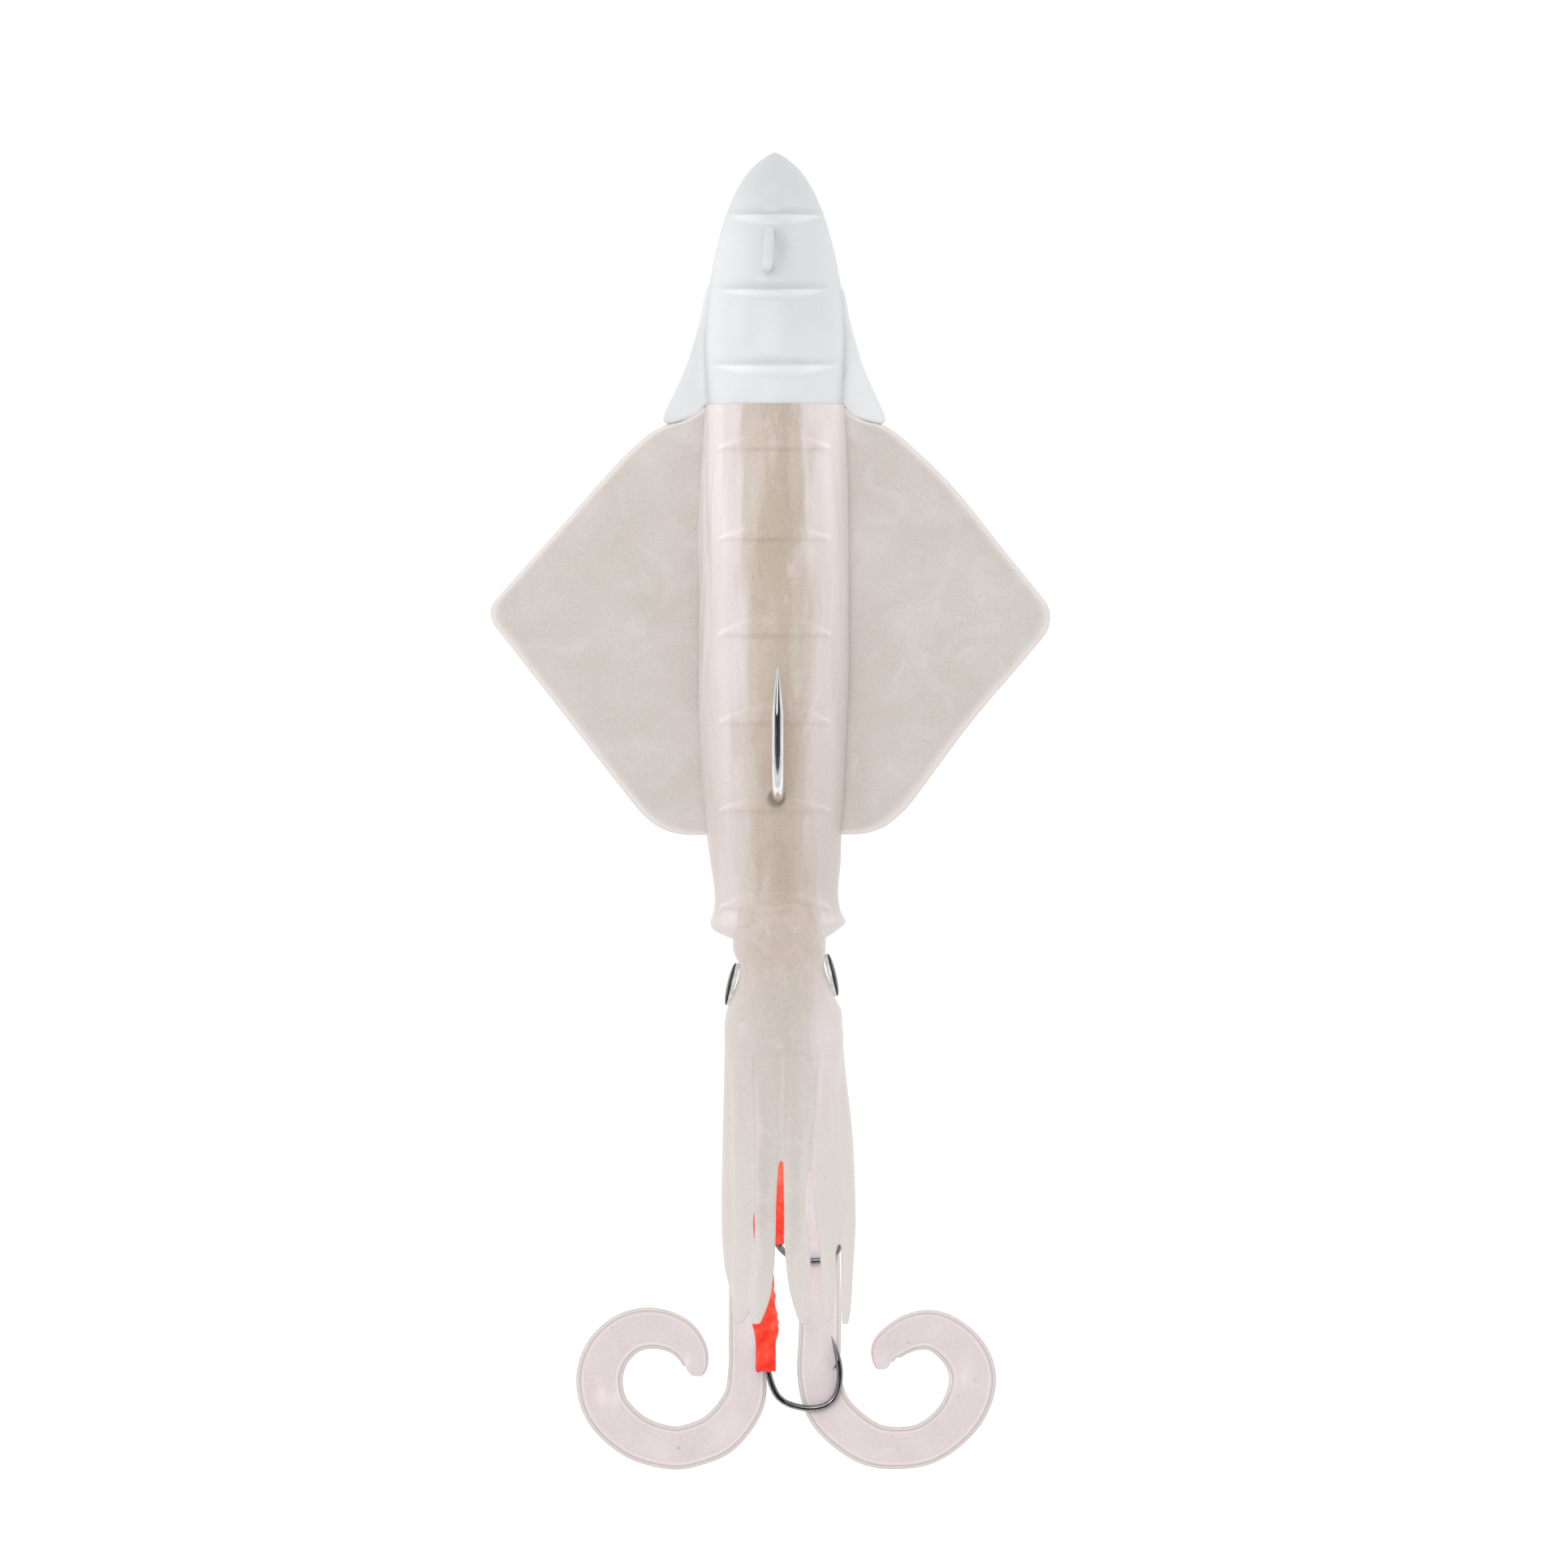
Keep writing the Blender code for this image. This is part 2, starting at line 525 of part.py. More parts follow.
def make_soft_body(collection, look):
    rings = body_rings(MANTLE_STATIONS, MANTLE_FOLDS, -MANTLE_FOLD_HEIGHT, mantle_width)
    body = loft("mantle", rings, collection)
    pieces = [
        plate("fin_left", FIN_LEFT, FIN_THICKNESS, FIN_FOLDS, collection),
        plate("fin_right", FIN_RIGHT, FIN_THICKNESS, FIN_FOLDS, collection),
        loft("head", head_rings(), collection),
        loft("tentacle_left", ribbon_rings(TENTACLE_LEFT), collection),
        loft("tentacle_right", ribbon_rings(TENTACLE_RIGHT), collection),
    ]
    pieces += [loft("arm_" + name, arm_rings(knots), collection) for name, knots in ARMS.items()]
    boolean(body, "UNION", pieces)
    cutters = [main_hook_wire(HOOK_WIRE + 2 * GAP, HOOK_START_ANGLE + HOOK_STEP, collection)]
    for name, ((x, y), facing) in EYES.items():
        cutters.append(eye_socket(name, x, y, facing, collection))
    boolean(body, "DIFFERENCE", cutters)
    finish(body, "soft_body", look)


def eye_socket(name, x, y, facing, collection):
    """A round cutter that leaves a gap all round the sunk back of an eye."""
    depth = EYE_RIM + 2 * GAP
    bm = bmesh.new()
    radius = (EYE_RADIUS + GAP) * MM
    bmesh.ops.create_cone(
        bm, cap_ends=True, segments=EYE_STEPS, radius1=radius, radius2=radius, depth=2 * depth * MM
    )
    bmesh.ops.translate(bm, verts=bm.verts, vec=(0, 0, (depth - GAP) * MM))
    socket = new_object(name + "_socket", mesh_from(bm, name), collection)
    place_eye(socket, x, y, facing)
    bake_place(socket)
    return socket


def place_eye(obj, x, y, facing):
    """Turns an object's +Z to face sideways, and sinks it a little into the head."""
    angle = math.radians(facing)
    outward = Vector((math.cos(angle), math.sin(angle), 0))
    obj.location = (Vector((x, y, EYE_Z)) - outward * EYE_SINK) * MM
    obj.rotation_euler = (0, math.radians(90), angle)


def bake_place(obj):
    bpy.context.view_layer.update()
    obj.data.transform(obj.matrix_world)
    obj.matrix_world.identity()


def make_eyes(collection, look):
    """Domed discs, each turned from a profile that runs down its outer side."""
    profile = []
    for degrees in EYE_DOME_ANGLES:
        angle = math.radians(degrees)
        profile.append((EYE_RADIUS * math.sin(angle), EYE_RIM + EYE_DOME * math.cos(angle)))
    profile += [(EYE_RADIUS, EYE_BACK_EDGE), (EYE_RADIUS - EYE_BACK_EDGE, 0), (0, 0)]
    for name, ((x, y), facing) in EYES.items():
        mesh = bpy.data.meshes.new(name)
        edges = [(i, i + 1) for i in range(len(profile) - 1)]
        mesh.from_pydata([(r * MM, 0, z * MM) for r, z in profile], edges, [])
        eye = new_object(name, mesh, collection, look)
        place_eye(eye, x, y, facing)
        screw = eye.modifiers.new("turn", "SCREW")
        screw.axis = "Z"
        screw.steps = screw.render_steps = EYE_STEPS
        screw.use_merge_vertices = True
        screw.merge_threshold = WELD
        screw.use_smooth_shade = True


def main():
    for obj in list(bpy.data.objects):
        bpy.data.objects.remove(obj)
    lure = bpy.data.collections.new("squid_lure")
    bpy.context.scene.collection.children.link(lure)
    pearl = material("pearl_soft_plastic", (0.66, 0.59, 0.54), 0.45)
    white = material("white_painted_lead", (0.84, 0.85, 0.87), 0.35)
    nickel = material("black_nickel_wire", (0.18, 0.18, 0.19), 0.2, 1.0)
    red = material("red_heat_shrink", (0.85, 0.07, 0.03), 0.5)
    lens = material("clear_domed_eye", (0.25, 0.24, 0.23), 0.1)
    make_lead_head(lure, white)
    make_soft_body(lure, pearl)
    make_hooks(lure, nickel, white)
    make_sleeves(lure, red)
    make_eyes(lure, lens)


main()
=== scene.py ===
# Squid fishing lure: soft pearl body, painted lead head, hooks, red sleeves and stick-on eyes
import math

import bmesh
import bpy
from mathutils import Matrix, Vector, noise


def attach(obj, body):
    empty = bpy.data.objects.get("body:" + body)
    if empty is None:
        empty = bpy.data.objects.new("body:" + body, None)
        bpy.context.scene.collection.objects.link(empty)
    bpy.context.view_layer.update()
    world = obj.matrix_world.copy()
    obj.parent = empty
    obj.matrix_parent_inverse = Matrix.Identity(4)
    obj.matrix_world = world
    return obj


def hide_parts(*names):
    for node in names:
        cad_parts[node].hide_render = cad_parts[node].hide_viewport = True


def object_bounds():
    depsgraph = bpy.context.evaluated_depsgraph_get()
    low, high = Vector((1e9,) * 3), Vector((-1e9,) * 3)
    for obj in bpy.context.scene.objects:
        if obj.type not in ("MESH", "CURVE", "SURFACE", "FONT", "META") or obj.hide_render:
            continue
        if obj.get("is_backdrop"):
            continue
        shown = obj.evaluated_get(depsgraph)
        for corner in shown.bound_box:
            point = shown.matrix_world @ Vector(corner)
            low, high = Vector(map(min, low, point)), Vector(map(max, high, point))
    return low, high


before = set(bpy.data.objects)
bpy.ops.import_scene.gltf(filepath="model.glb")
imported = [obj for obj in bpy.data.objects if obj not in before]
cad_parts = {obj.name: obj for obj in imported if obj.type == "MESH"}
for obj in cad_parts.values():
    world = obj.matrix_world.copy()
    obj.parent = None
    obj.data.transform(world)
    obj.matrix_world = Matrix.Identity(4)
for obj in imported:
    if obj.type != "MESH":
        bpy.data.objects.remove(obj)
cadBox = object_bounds()
mm = 0.001  # every size below is in millimetres
print("frame loaded")


# Smooth values through (place, value, ...) knots
def valueAt(knots, place):
    last = len(knots) - 1
    k = 0
    while k < last - 1 and knots[k + 1][0] <= place:
        k += 1
    here, there = knots[k], knots[k + 1]
    before, after = knots[max(k - 1, 0)], knots[min(k + 2, last)]
    span = there[0] - here[0]
    t = (place - here[0]) / span
    values = []
    for i in range(1, len(here)):
        slopeHere = span * (there[i] - before[i]) / (there[0] - before[0])
        slopeThere = span * (after[i] - here[i]) / (after[0] - here[0])
        values.append(
            here[i] * (2 * t**3 - 3 * t**2 + 1)
            + slopeHere * (t**3 - 2 * t**2 + t)
            + there[i] * (3 * t**2 - 2 * t**3)
            + slopeThere * (t**3 - t**2)
        )
    return values


def mix(a, b, share):
    return a + (b - a) * share


def ease(value, low, high):
    t = min(1.0, max(0.0, (value - low) / (high - low)))
    return t * t * (3 - 2 * t)


# A point on a ring across the Y axis, no lower than the floor
def ovalPoint(turn, x, y, z, halfWidth, up, down, squareness=2.0):
    angle = 2 * math.pi * turn
    side = math.copysign(abs(math.cos(angle)) ** (2 / squareness), math.cos(angle))
    rise = math.copysign(abs(math.sin(angle)) ** (2 / squareness), math.sin(angle))
    height = up if rise > 0 else down
    return Vector((x + halfWidth * side, y, max(z + height * rise, 0.0)))


# Wraps a flat grid into a closed skin, surface(turn, reach) with both from 0 to 1
def wrapGrid(bm, surface, around, along, rimAt=None):
    rim = bm.verts.layers.float.new("rim") if rimAt else None
    made = bmesh.ops.create_grid(bm, x_segments=around, y_segments=along, size=0.5)["verts"]
    for vert in made:
        turn, reach = vert.co.x + 0.5, vert.co.y + 0.5
        vert.co = surface(turn, reach) * mm
        if rimAt:
            vert[rim] = rimAt(turn, reach)
    bmesh.ops.remove_doubles(bm, verts=made, dist=1e-7)
    openEdges = [edge for edge in bm.edges if edge.is_boundary]
    bmesh.ops.holes_fill(bm, edges=openEdges, sides=0)
    bmesh.ops.recalc_face_normals(bm, faces=bm.faces)


def objectFrom(bm, name):
    mesh = bpy.data.meshes.new(name)
    bm.to_mesh(mesh)
    bm.free()
    made = bpy.data.objects.new(name, mesh)
    bpy.context.scene.collection.objects.link(made)
    return made


# Joins overlapping skins into one even skin, and softens the creases where they meet
def castAsOne(bm, name, voxel, rounds):
    rough = objectFrom(bm, name + "_rough")
    remesh = rough.modifiers.new("cast", "REMESH")
    remesh.mode = "VOXEL"
    remesh.voxel_size = voxel * mm
    bpy.context.view_layer.update()
    even = bpy.data.meshes.new_from_object(rough.evaluated_get(bpy.context.evaluated_depsgraph_get()))
    roughMesh = rough.data
    bpy.data.objects.remove(rough)
    bpy.data.meshes.remove(roughMesh)
    cast = bmesh.new()
    cast.from_mesh(even)
    bpy.data.meshes.remove(even)
    for _ in range(rounds):
        bmesh.ops.smooth_vert(
            cast, verts=cast.verts, factor=0.5, use_axis_x=True, use_axis_y=True, use_axis_z=True
        )
    return cast


# Keeps tone, the light or shade that toneAt adds to the colour at a point, as an attribute
def addPiece(bm, name, looks, nodes, toneAt=None):
    piece = objectFrom(bm, name)
    for look in looks:
        piece.data.materials.append(look)
    piece.data.shade_smooth()
    if toneAt:
        tones = piece.data.attributes.new("tone", "FLOAT", "POINT")
        for vert, tone in zip(piece.data.vertices, tones.data):
            tone.value = toneAt(vert.co / mm)
    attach(piece, "root")
    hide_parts(*nodes)
    print("made", name, len(piece.data.polygons), "faces")
    return piece


def lineDistance(point, line):
    best = 1e9
    for a, b in zip(line, line[1:]):
        start, end = Vector(a), Vector(b)
        span = end - start
        t = min(1.0, max(0.0, (point - start).dot(span) / span.length_squared))
        best = min(best, (start + span * t - point).length)
    return best


# Strokes are (width, tone, line) and blobs are (x, y, reach in x, reach in y, tone)
def softMarks(point, strokes=(), blobs=()):
    tone = 0.0
    for width, strength, line in strokes:
        tone += strength * math.exp(-((lineDistance(point.xy, line) / width) ** 2))
    for x, y, wide, high, strength in blobs:
        tone += strength * math.exp(-(((point.x - x) / wide) ** 2) - ((point.y - y) / high) ** 2)
    return tone


def hexColour(code):
    parts = [int(code[i:i + 2], 16) / 255 for i in (1, 3, 5)]
    linear = [p / 12.92 if p <= 0.04045 else ((p + 0.055) / 1.055) ** 2.4 for p in parts]
    return (*linear, 1.0)


# Adds a node: settings are its properties, input values or colour stops, links feed its inputs
def addNode(tree, kind, settings=None, links=None, output=0):
    node = tree.nodes.new("ShaderNode" + kind)
    for key, value in (settings or {}).items():
        if key == "stops":
            ramp = node.color_ramp
            ramp.interpolation = "EASE"
            while len(ramp.elements) < len(value):
                ramp.elements.new(0.5)
            for element, (position, colour) in zip(ramp.elements, value):
                element.position = position
                element.color = hexColour(colour) if isinstance(colour, str) else (colour, colour, colour, 1)
        elif isinstance(key, str) and hasattr(node, key):
            setattr(node, key, value)
        elif isinstance(value, str):
            node.inputs[key].default_value = hexColour(value)
        else:
            node.inputs[key].default_value = value
    for key, source in (links or {}).items():
        tree.links.new(source, node.inputs[key])
    return node.outputs[output]


# A Principled material, with place as the object's own coordinates in millimetres
def newMaterial(name, settings):
    look = bpy.data.materials.new(name)
    look.use_nodes = True
    tree = look.node_tree
    shader = tree.nodes["Principled BSDF"]
    for key, value in settings.items():
        shader.inputs[key].default_value = value
    metres = addNode(tree, "TexCoord", output="Object")
    place = addNode(tree, "Mapping", {"Scale": (1 / mm, 1 / mm, 1 / mm)}, {"Vector": metres})
    return look, tree, shader, place


# Last steps of a cast surface: fine grain, dust specks, the tone of its marks (mostly painted shade and
# painted highlights), and its relief
def finishCast(tree, shader, place, colour, relief, cast):
    grain = addNode(tree, "TexNoise", {"Scale": 1 / cast["grainSize"], "Detail": 2.0}, {"Vector": place})
    grainTone = addNode(tree, "ValToRGB", {"stops": [(0.3, "#998d80"), (0.7, "#ffffff")]}, {"Fac": grain})
    colour = addNode(
        tree, "MixRGB", {"blend_type": "OVERLAY", "Fac": cast["grain"]},
        {"Color1": colour, "Color2": grainTone},
    )
    cells = addNode(tree, "TexVoronoi", {"Scale": 1 / cast["speckEvery"]}, {"Vector": place}).node
    spot = addNode(
        tree, "ValToRGB", {"stops": [(0.04, cast["specks"]), (0.085, 0.0)]},
        {"Fac": cells.outputs["Distance"]},
    )
    chosen = addNode(tree, "SeparateColor", {}, {"Color": cells.outputs["Color"]}, "Red")
    rare = addNode(tree, "Math", {"operation": "GREATER_THAN", 1: 0.62}, {0: chosen})
    factor = addNode(tree, "Math", {"operation": "MULTIPLY"}, {0: spot, 1: rare})
    colour = addNode(tree, "MixRGB", {"Color2": "#8d7f74"}, {"Fac": factor, "Color1": colour})
    # Tone scales the colour: painted shade and painted highlights, with a few marks of the thing's own colour
    mark = addNode(tree, "Attribute", {"attribute_name": "tone"}, output="Fac")
    tone = addNode(tree, "Math", {"operation": "ADD", 1: 1.0}, {0: mark})
    colour = addNode(tree, "VectorMath", {"operation": "SCALE"}, {"Vector": colour, "Scale": tone})
    tree.links.new(colour, shader.inputs["Base Color"])
    height = addNode(tree, "Math", {"operation": "MULTIPLY_ADD", 1: 0.3}, {0: grain, 2: relief})
    bump = addNode(tree, "Bump", {"Distance": cast["bump"] * mm}, {"Height": height})
    tree.links.new(bump, shader.inputs["Normal"])


pearlSettings = {
    "Roughness": 0.42,
    "IOR": 1.5,
    "Specular IOR Level": 0.35,
    "Coat Weight": 0.08,
    "Coat Roughness": 0.25,
}
pearlCast = {"grainSize": 0.32, "grain": 0.10, "speckEvery": 2.6, "specks": 0.35, "bump": 0.05}


# Plastisol with mica pigment, poured: beige where it is deepest, with painted sheen bands along the back on
# either side that stand in for reflections of the side lights, thin painted highlight lines near the edges,
# and the painted sheen fading towards the rear
def mantlePearl():
    look, tree, shader, place = newMaterial("poured_pearl_plastisol_mantle", pearlSettings)
    drawnOut = addNode(tree, "Mapping", {"Scale": (1.0, 0.11, 1.0)}, {"Vector": place})
    streaks = addNode(tree, "TexNoise", {"Scale": 1 / 2.6, "Detail": 3.0}, {"Vector": drawnOut})
    parts = addNode(tree, "SeparateXYZ", {}, {"Vector": place}).node
    flat = addNode(tree, "MapRange", {"From Min": -14.0, "From Max": 15.0}, {"Value": parts.outputs["X"]})
    centred = addNode(tree, "Math", {"operation": "SUBTRACT", 1: 0.5}, {0: streaks})
    across = addNode(tree, "Math", {"operation": "MULTIPLY_ADD", 1: 0.26}, {0: centred, 2: flat})
    # Painted sheen bands and painted highlight lines near the edges, at the front and towards the rear
    front = addNode(tree, "ValToRGB", {"stops": [
        (0.00, "#dccfca"), (0.04, "#f3ebe9"), (0.07, "#e6dbda"), (0.14, "#f9f0f2"), (0.24, "#ebe1e1"),
        (0.34, "#d2c4ba"), (0.44, "#c2b2a3"), (0.56, "#c0b0a1"), (0.67, "#cbbcb1"), (0.78, "#e7dddb"),
        (0.87, "#f2e8e8"), (1.00, "#e9dfdd"),
    ]}, {"Fac": across})
    rear = addNode(tree, "ValToRGB", {"stops": [
        (0.00, "#dacec8"), (0.05, "#e4d9d4"), (0.12, "#dccfc9"), (0.22, "#e4d8d9"), (0.32, "#dacdc8"),
        (0.42, "#c9bbae"), (0.55, "#c3b4a5"), (0.68, "#cbbdb1"), (0.80, "#d9cdc8"), (0.92, "#d8ccc5"),
        (1.00, "#dfd3cd"),
    ]}, {"Fac": across})
    rearShare = addNode(tree, "MapRange", {"From Min": 62.0, "From Max": -2.0}, {"Value": parts.outputs["Y"]})
    along = addNode(tree, "Math", {"operation": "MULTIPLY_ADD", 1: 0.3}, {0: centred, 2: rearShare})
    colour = addNode(tree, "MixRGB", {}, {"Fac": along, "Color1": front, "Color2": rear})
    cloudPlace = addNode(tree, "Mapping", {"Scale": (1.0, 0.45, 1.0)}, {"Vector": place})
    cloud = addNode(tree, "TexNoise", {"Scale": 1 / 9.0, "Detail": 4.0}, {"Vector": cloudPlace})
    haze = addNode(tree, "ValToRGB", {"stops": [(0.40, 0.0), (0.75, 0.25)]}, {"Fac": cloud})
    colour = addNode(tree, "MixRGB", {"Color2": "#d9ccc3"}, {"Fac": haze, "Color1": colour})
    swirlPlace = addNode(tree, "Mapping", {"Scale": (1.0, 0.35, 1.0)}, {"Vector": place})
    swirl = addNode(
        tree, "TexNoise", {"Scale": 1 / 4.5, "Detail": 5.0, "Roughness": 0.62, "Distortion": 0.6},
        {"Vector": swirlPlace},
    )
    core = addNode(
        tree, "ValToRGB", {"stops": [(0.26, 0.15), (0.42, 1.0), (0.62, 1.0), (0.80, 0.15)]}, {"Fac": flat}
    )
    deep = addNode(tree, "ValToRGB", {"stops": [(0.52, 0.0), (0.70, 0.45)]}, {"Fac": swirl})
    brown = addNode(tree, "Math", {"operation": "MULTIPLY"}, {0: core, 1: deep})
    pale = addNode(tree, "ValToRGB", {"stops": [(0.30, 0.40), (0.46, 0.0)]}, {"Fac": swirl})
    colour = addNode(tree, "MixRGB", {"Color2": "#bba896"}, {"Fac": brown, "Color1": colour})
    colour = addNode(tree, "MixRGB", {"Color2": "#e9dedb"}, {"Fac": pale, "Color1": colour})
    flare = addNode(
        tree, "MapRange", {"From Min": -17.6, "From Max": -20.4, "To Max": 0.55},
        {"Value": parts.outputs["Y"]},
    )
    colour = addNode(tree, "MixRGB", {"Color2": "#e8e1de"}, {"Fac": flare, "Color1": colour})
    finishCast(tree, shader, place, colour, streaks, pearlCast)
    return look


# The same plastisol in a thin sheet: greyer, with pale flow clouds and a painted highlight along the rim
def finPearl():
    look, tree, shader, place = newMaterial("poured_pearl_plastisol_fin", pearlSettings)
    cloud = addNode(
        tree, "TexNoise", {"Scale": 1 / 12.0, "Detail": 4.0, "Distortion": 0.5}, {"Vector": place}
    )
    colour = addNode(tree, "ValToRGB", {"stops": [
        (0.25, "#cbc4bc"), (0.42, "#cfc8c1"), (0.60, "#d3ccc6"), (0.78, "#dbd5d0"),
    ]}, {"Fac": cloud})
    rim = addNode(tree, "Attribute", {"attribute_name": "rim"}, output="Fac")
    # Painted highlight along the rim
    edge = addNode(tree, "ValToRGB", {"stops": [
        (0.0, 0.0), (0.3, 0.15), (0.6, 0.45), (0.82, 0.9), (1.0, 0.6),
    ]}, {"Fac": rim})
    veins = addNode(
        tree, "TexNoise", {"Scale": 1 / 9.0, "Detail": 5.0, "Roughness": 0.55, "Distortion": 1.2},
        {"Vector": place},
    )
    paler = addNode(tree, "ValToRGB", {"stops": [(0.50, 0.0), (0.70, 0.35)]}, {"Fac": veins})
    colour = addNode(tree, "MixRGB", {"Color2": "#e0dad5"}, {"Fac": paler, "Color1": colour})
    colour = addNode(tree, "MixRGB", {"Color2": "#efe6e3"}, {"Fac": edge, "Color1": colour})
    finishCast(tree, shader, place, colour, cloud, pearlCast)
    return look


# The crown and the arms: warm at the neck, cooler and paler towards the outer arms, with painted pinkish
# highlights on the crown's shoulders
def armPearl():
    look, tree, shader, place = newMaterial("poured_pearl_plastisol_arms", pearlSettings)
    drawnOut = addNode(tree, "Mapping", {"Scale": (1.0, 0.07, 1.0)}, {"Vector": place})
    streaks = addNode(tree, "TexNoise", {"Scale": 1 / 1.6, "Detail": 3.0}, {"Vector": drawnOut})
    parts = addNode(tree, "SeparateXYZ", {}, {"Vector": place}).node
    flat = addNode(tree, "MapRange", {"From Min": -9.0, "From Max": 15.0}, {"Value": parts.outputs["X"]})
    centred = addNode(tree, "Math", {"operation": "SUBTRACT", 1: 0.5}, {0: streaks})
    across = addNode(tree, "Math", {"operation": "MULTIPLY_ADD", 1: 0.2}, {0: centred, 2: flat})
    neck = addNode(tree, "ValToRGB", {"stops": [
        (0.0, "#d9ccc5"), (0.2, "#d2c5bd"), (0.36, "#cec0b6"), (0.5, "#cdbfb4"), (0.64, "#cfc1b7"),
        (0.8, "#d9ccc7"), (1.0, "#dfd4cf"),
    ]}, {"Fac": across})
    # Across the crown: painted pinkish highlights on the shoulders
    crown = addNode(tree, "ValToRGB", {"stops": [
        (0.0, "#d8d0c9"), (0.18, "#dacfca"), (0.34, "#d3c9c2"), (0.5, "#cec5bc"), (0.64, "#d3cac4"),
        (0.78, "#e4d8d8"), (1.0, "#e0d8d4"),
    ]}, {"Fac": across})
    arms = addNode(tree, "ValToRGB", {"stops": [
        (0.0, "#e1d9d5"), (0.15, "#e0d8d3"), (0.26, "#dfd7d3"), (0.31, "#d4ccc6"), (0.45, "#d9d3cd"),
        (0.55, "#d6cec8"), (0.64, "#dfd8d3"), (0.8, "#e0d9d4"), (1.0, "#e2dbd7"),
    ]}, {"Fac": across})
    toCrown = addNode(tree, "MapRange", {"From Min": -26.0, "From Max": -42.0}, {"Value": parts.outputs["Y"]})
    toArms = addNode(tree, "MapRange", {"From Min": -44.0, "From Max": -66.0}, {"Value": parts.outputs["Y"]})
    colour = addNode(tree, "MixRGB", {}, {"Fac": toCrown, "Color1": neck, "Color2": crown})
    colour = addNode(tree, "MixRGB", {}, {"Fac": toArms, "Color1": colour, "Color2": arms})
    tips = addNode(
        tree, "MapRange", {"From Min": -74.0, "From Max": -92.0, "To Max": 0.7}, {"Value": parts.outputs["Y"]}
    )
    colour = addNode(tree, "MixRGB", {"Color2": "#e6deda"}, {"Fac": tips, "Color1": colour})
    swirl = addNode(
        tree, "TexNoise", {"Scale": 1 / 4.0, "Detail": 5.0, "Roughness": 0.62, "Distortion": 0.6},
        {"Vector": place},
    )
    brown = addNode(tree, "ValToRGB", {"stops": [(0.50, 0.0), (0.70, 0.5)]}, {"Fac": swirl})
    atNeck = addNode(tree, "MapRange", {"From Min": -36.0, "From Max": -20.0}, {"Value": parts.outputs["Y"]})
    factor = addNode(tree, "Math", {"operation": "MULTIPLY"}, {0: brown, 1: atNeck})
    colour = addNode(tree, "MixRGB", {"Color2": "#bfad9d"}, {"Fac": factor, "Color1": colour})
    pale = addNode(tree, "ValToRGB", {"stops": [(0.32, 0.3), (0.46, 0.0)]}, {"Fac": swirl})
    colour = addNode(tree, "MixRGB", {"Color2": "#e8dedb"}, {"Fac": pale, "Color1": colour})
    finishCast(tree, shader, place, colour, streaks, {**pearlCast, "bump": 0.09})
    return look


# Thin pinkish ribbons with a finer pearl and a clear moulded edge, along which a painted highlight makes a
# light inner line between painted dark outline lines
def tentaclePearl():
    look, tree, shader, place = newMaterial("poured_pearl_plastisol_ribbon", pearlSettings)
    cloud = addNode(tree, "TexNoise", {"Scale": 1 / 8.0, "Detail": 3.0}, {"Vector": place})
    colour = addNode(tree, "ValToRGB", {"stops": [
        (0.3, "#dfd1d3"), (0.5, "#e4d6d8"), (0.7, "#e9dcde"),
    ]}, {"Fac": cloud})
    rim = addNode(tree, "Attribute", {"attribute_name": "rim"}, output="Fac")
    # Painted highlight and painted dark outline lines along the edge
    lines = addNode(tree, "ValToRGB", {"stops": [
        (0.66, "#e5d8d9"), (0.72, "#f0e8e7"), (0.79, "#e0d3d2"), (0.85, "#c3b6af"), (0.91, "#ebe2df"),
        (0.97, "#d0c4be"), (1.0, "#c2b6b0"),
    ]}, {"Fac": rim})
    edge = addNode(tree, "ValToRGB", {"stops": [(0.64, 0.0), (0.72, 0.85)]}, {"Fac": rim})
    colour = addNode(tree, "MixRGB", {}, {"Fac": edge, "Color1": colour, "Color2": lines})
    finishCast(tree, shader, place, colour, cloud, {**pearlCast, "speckEvery": 3.2, "specks": 0.6})
    return look


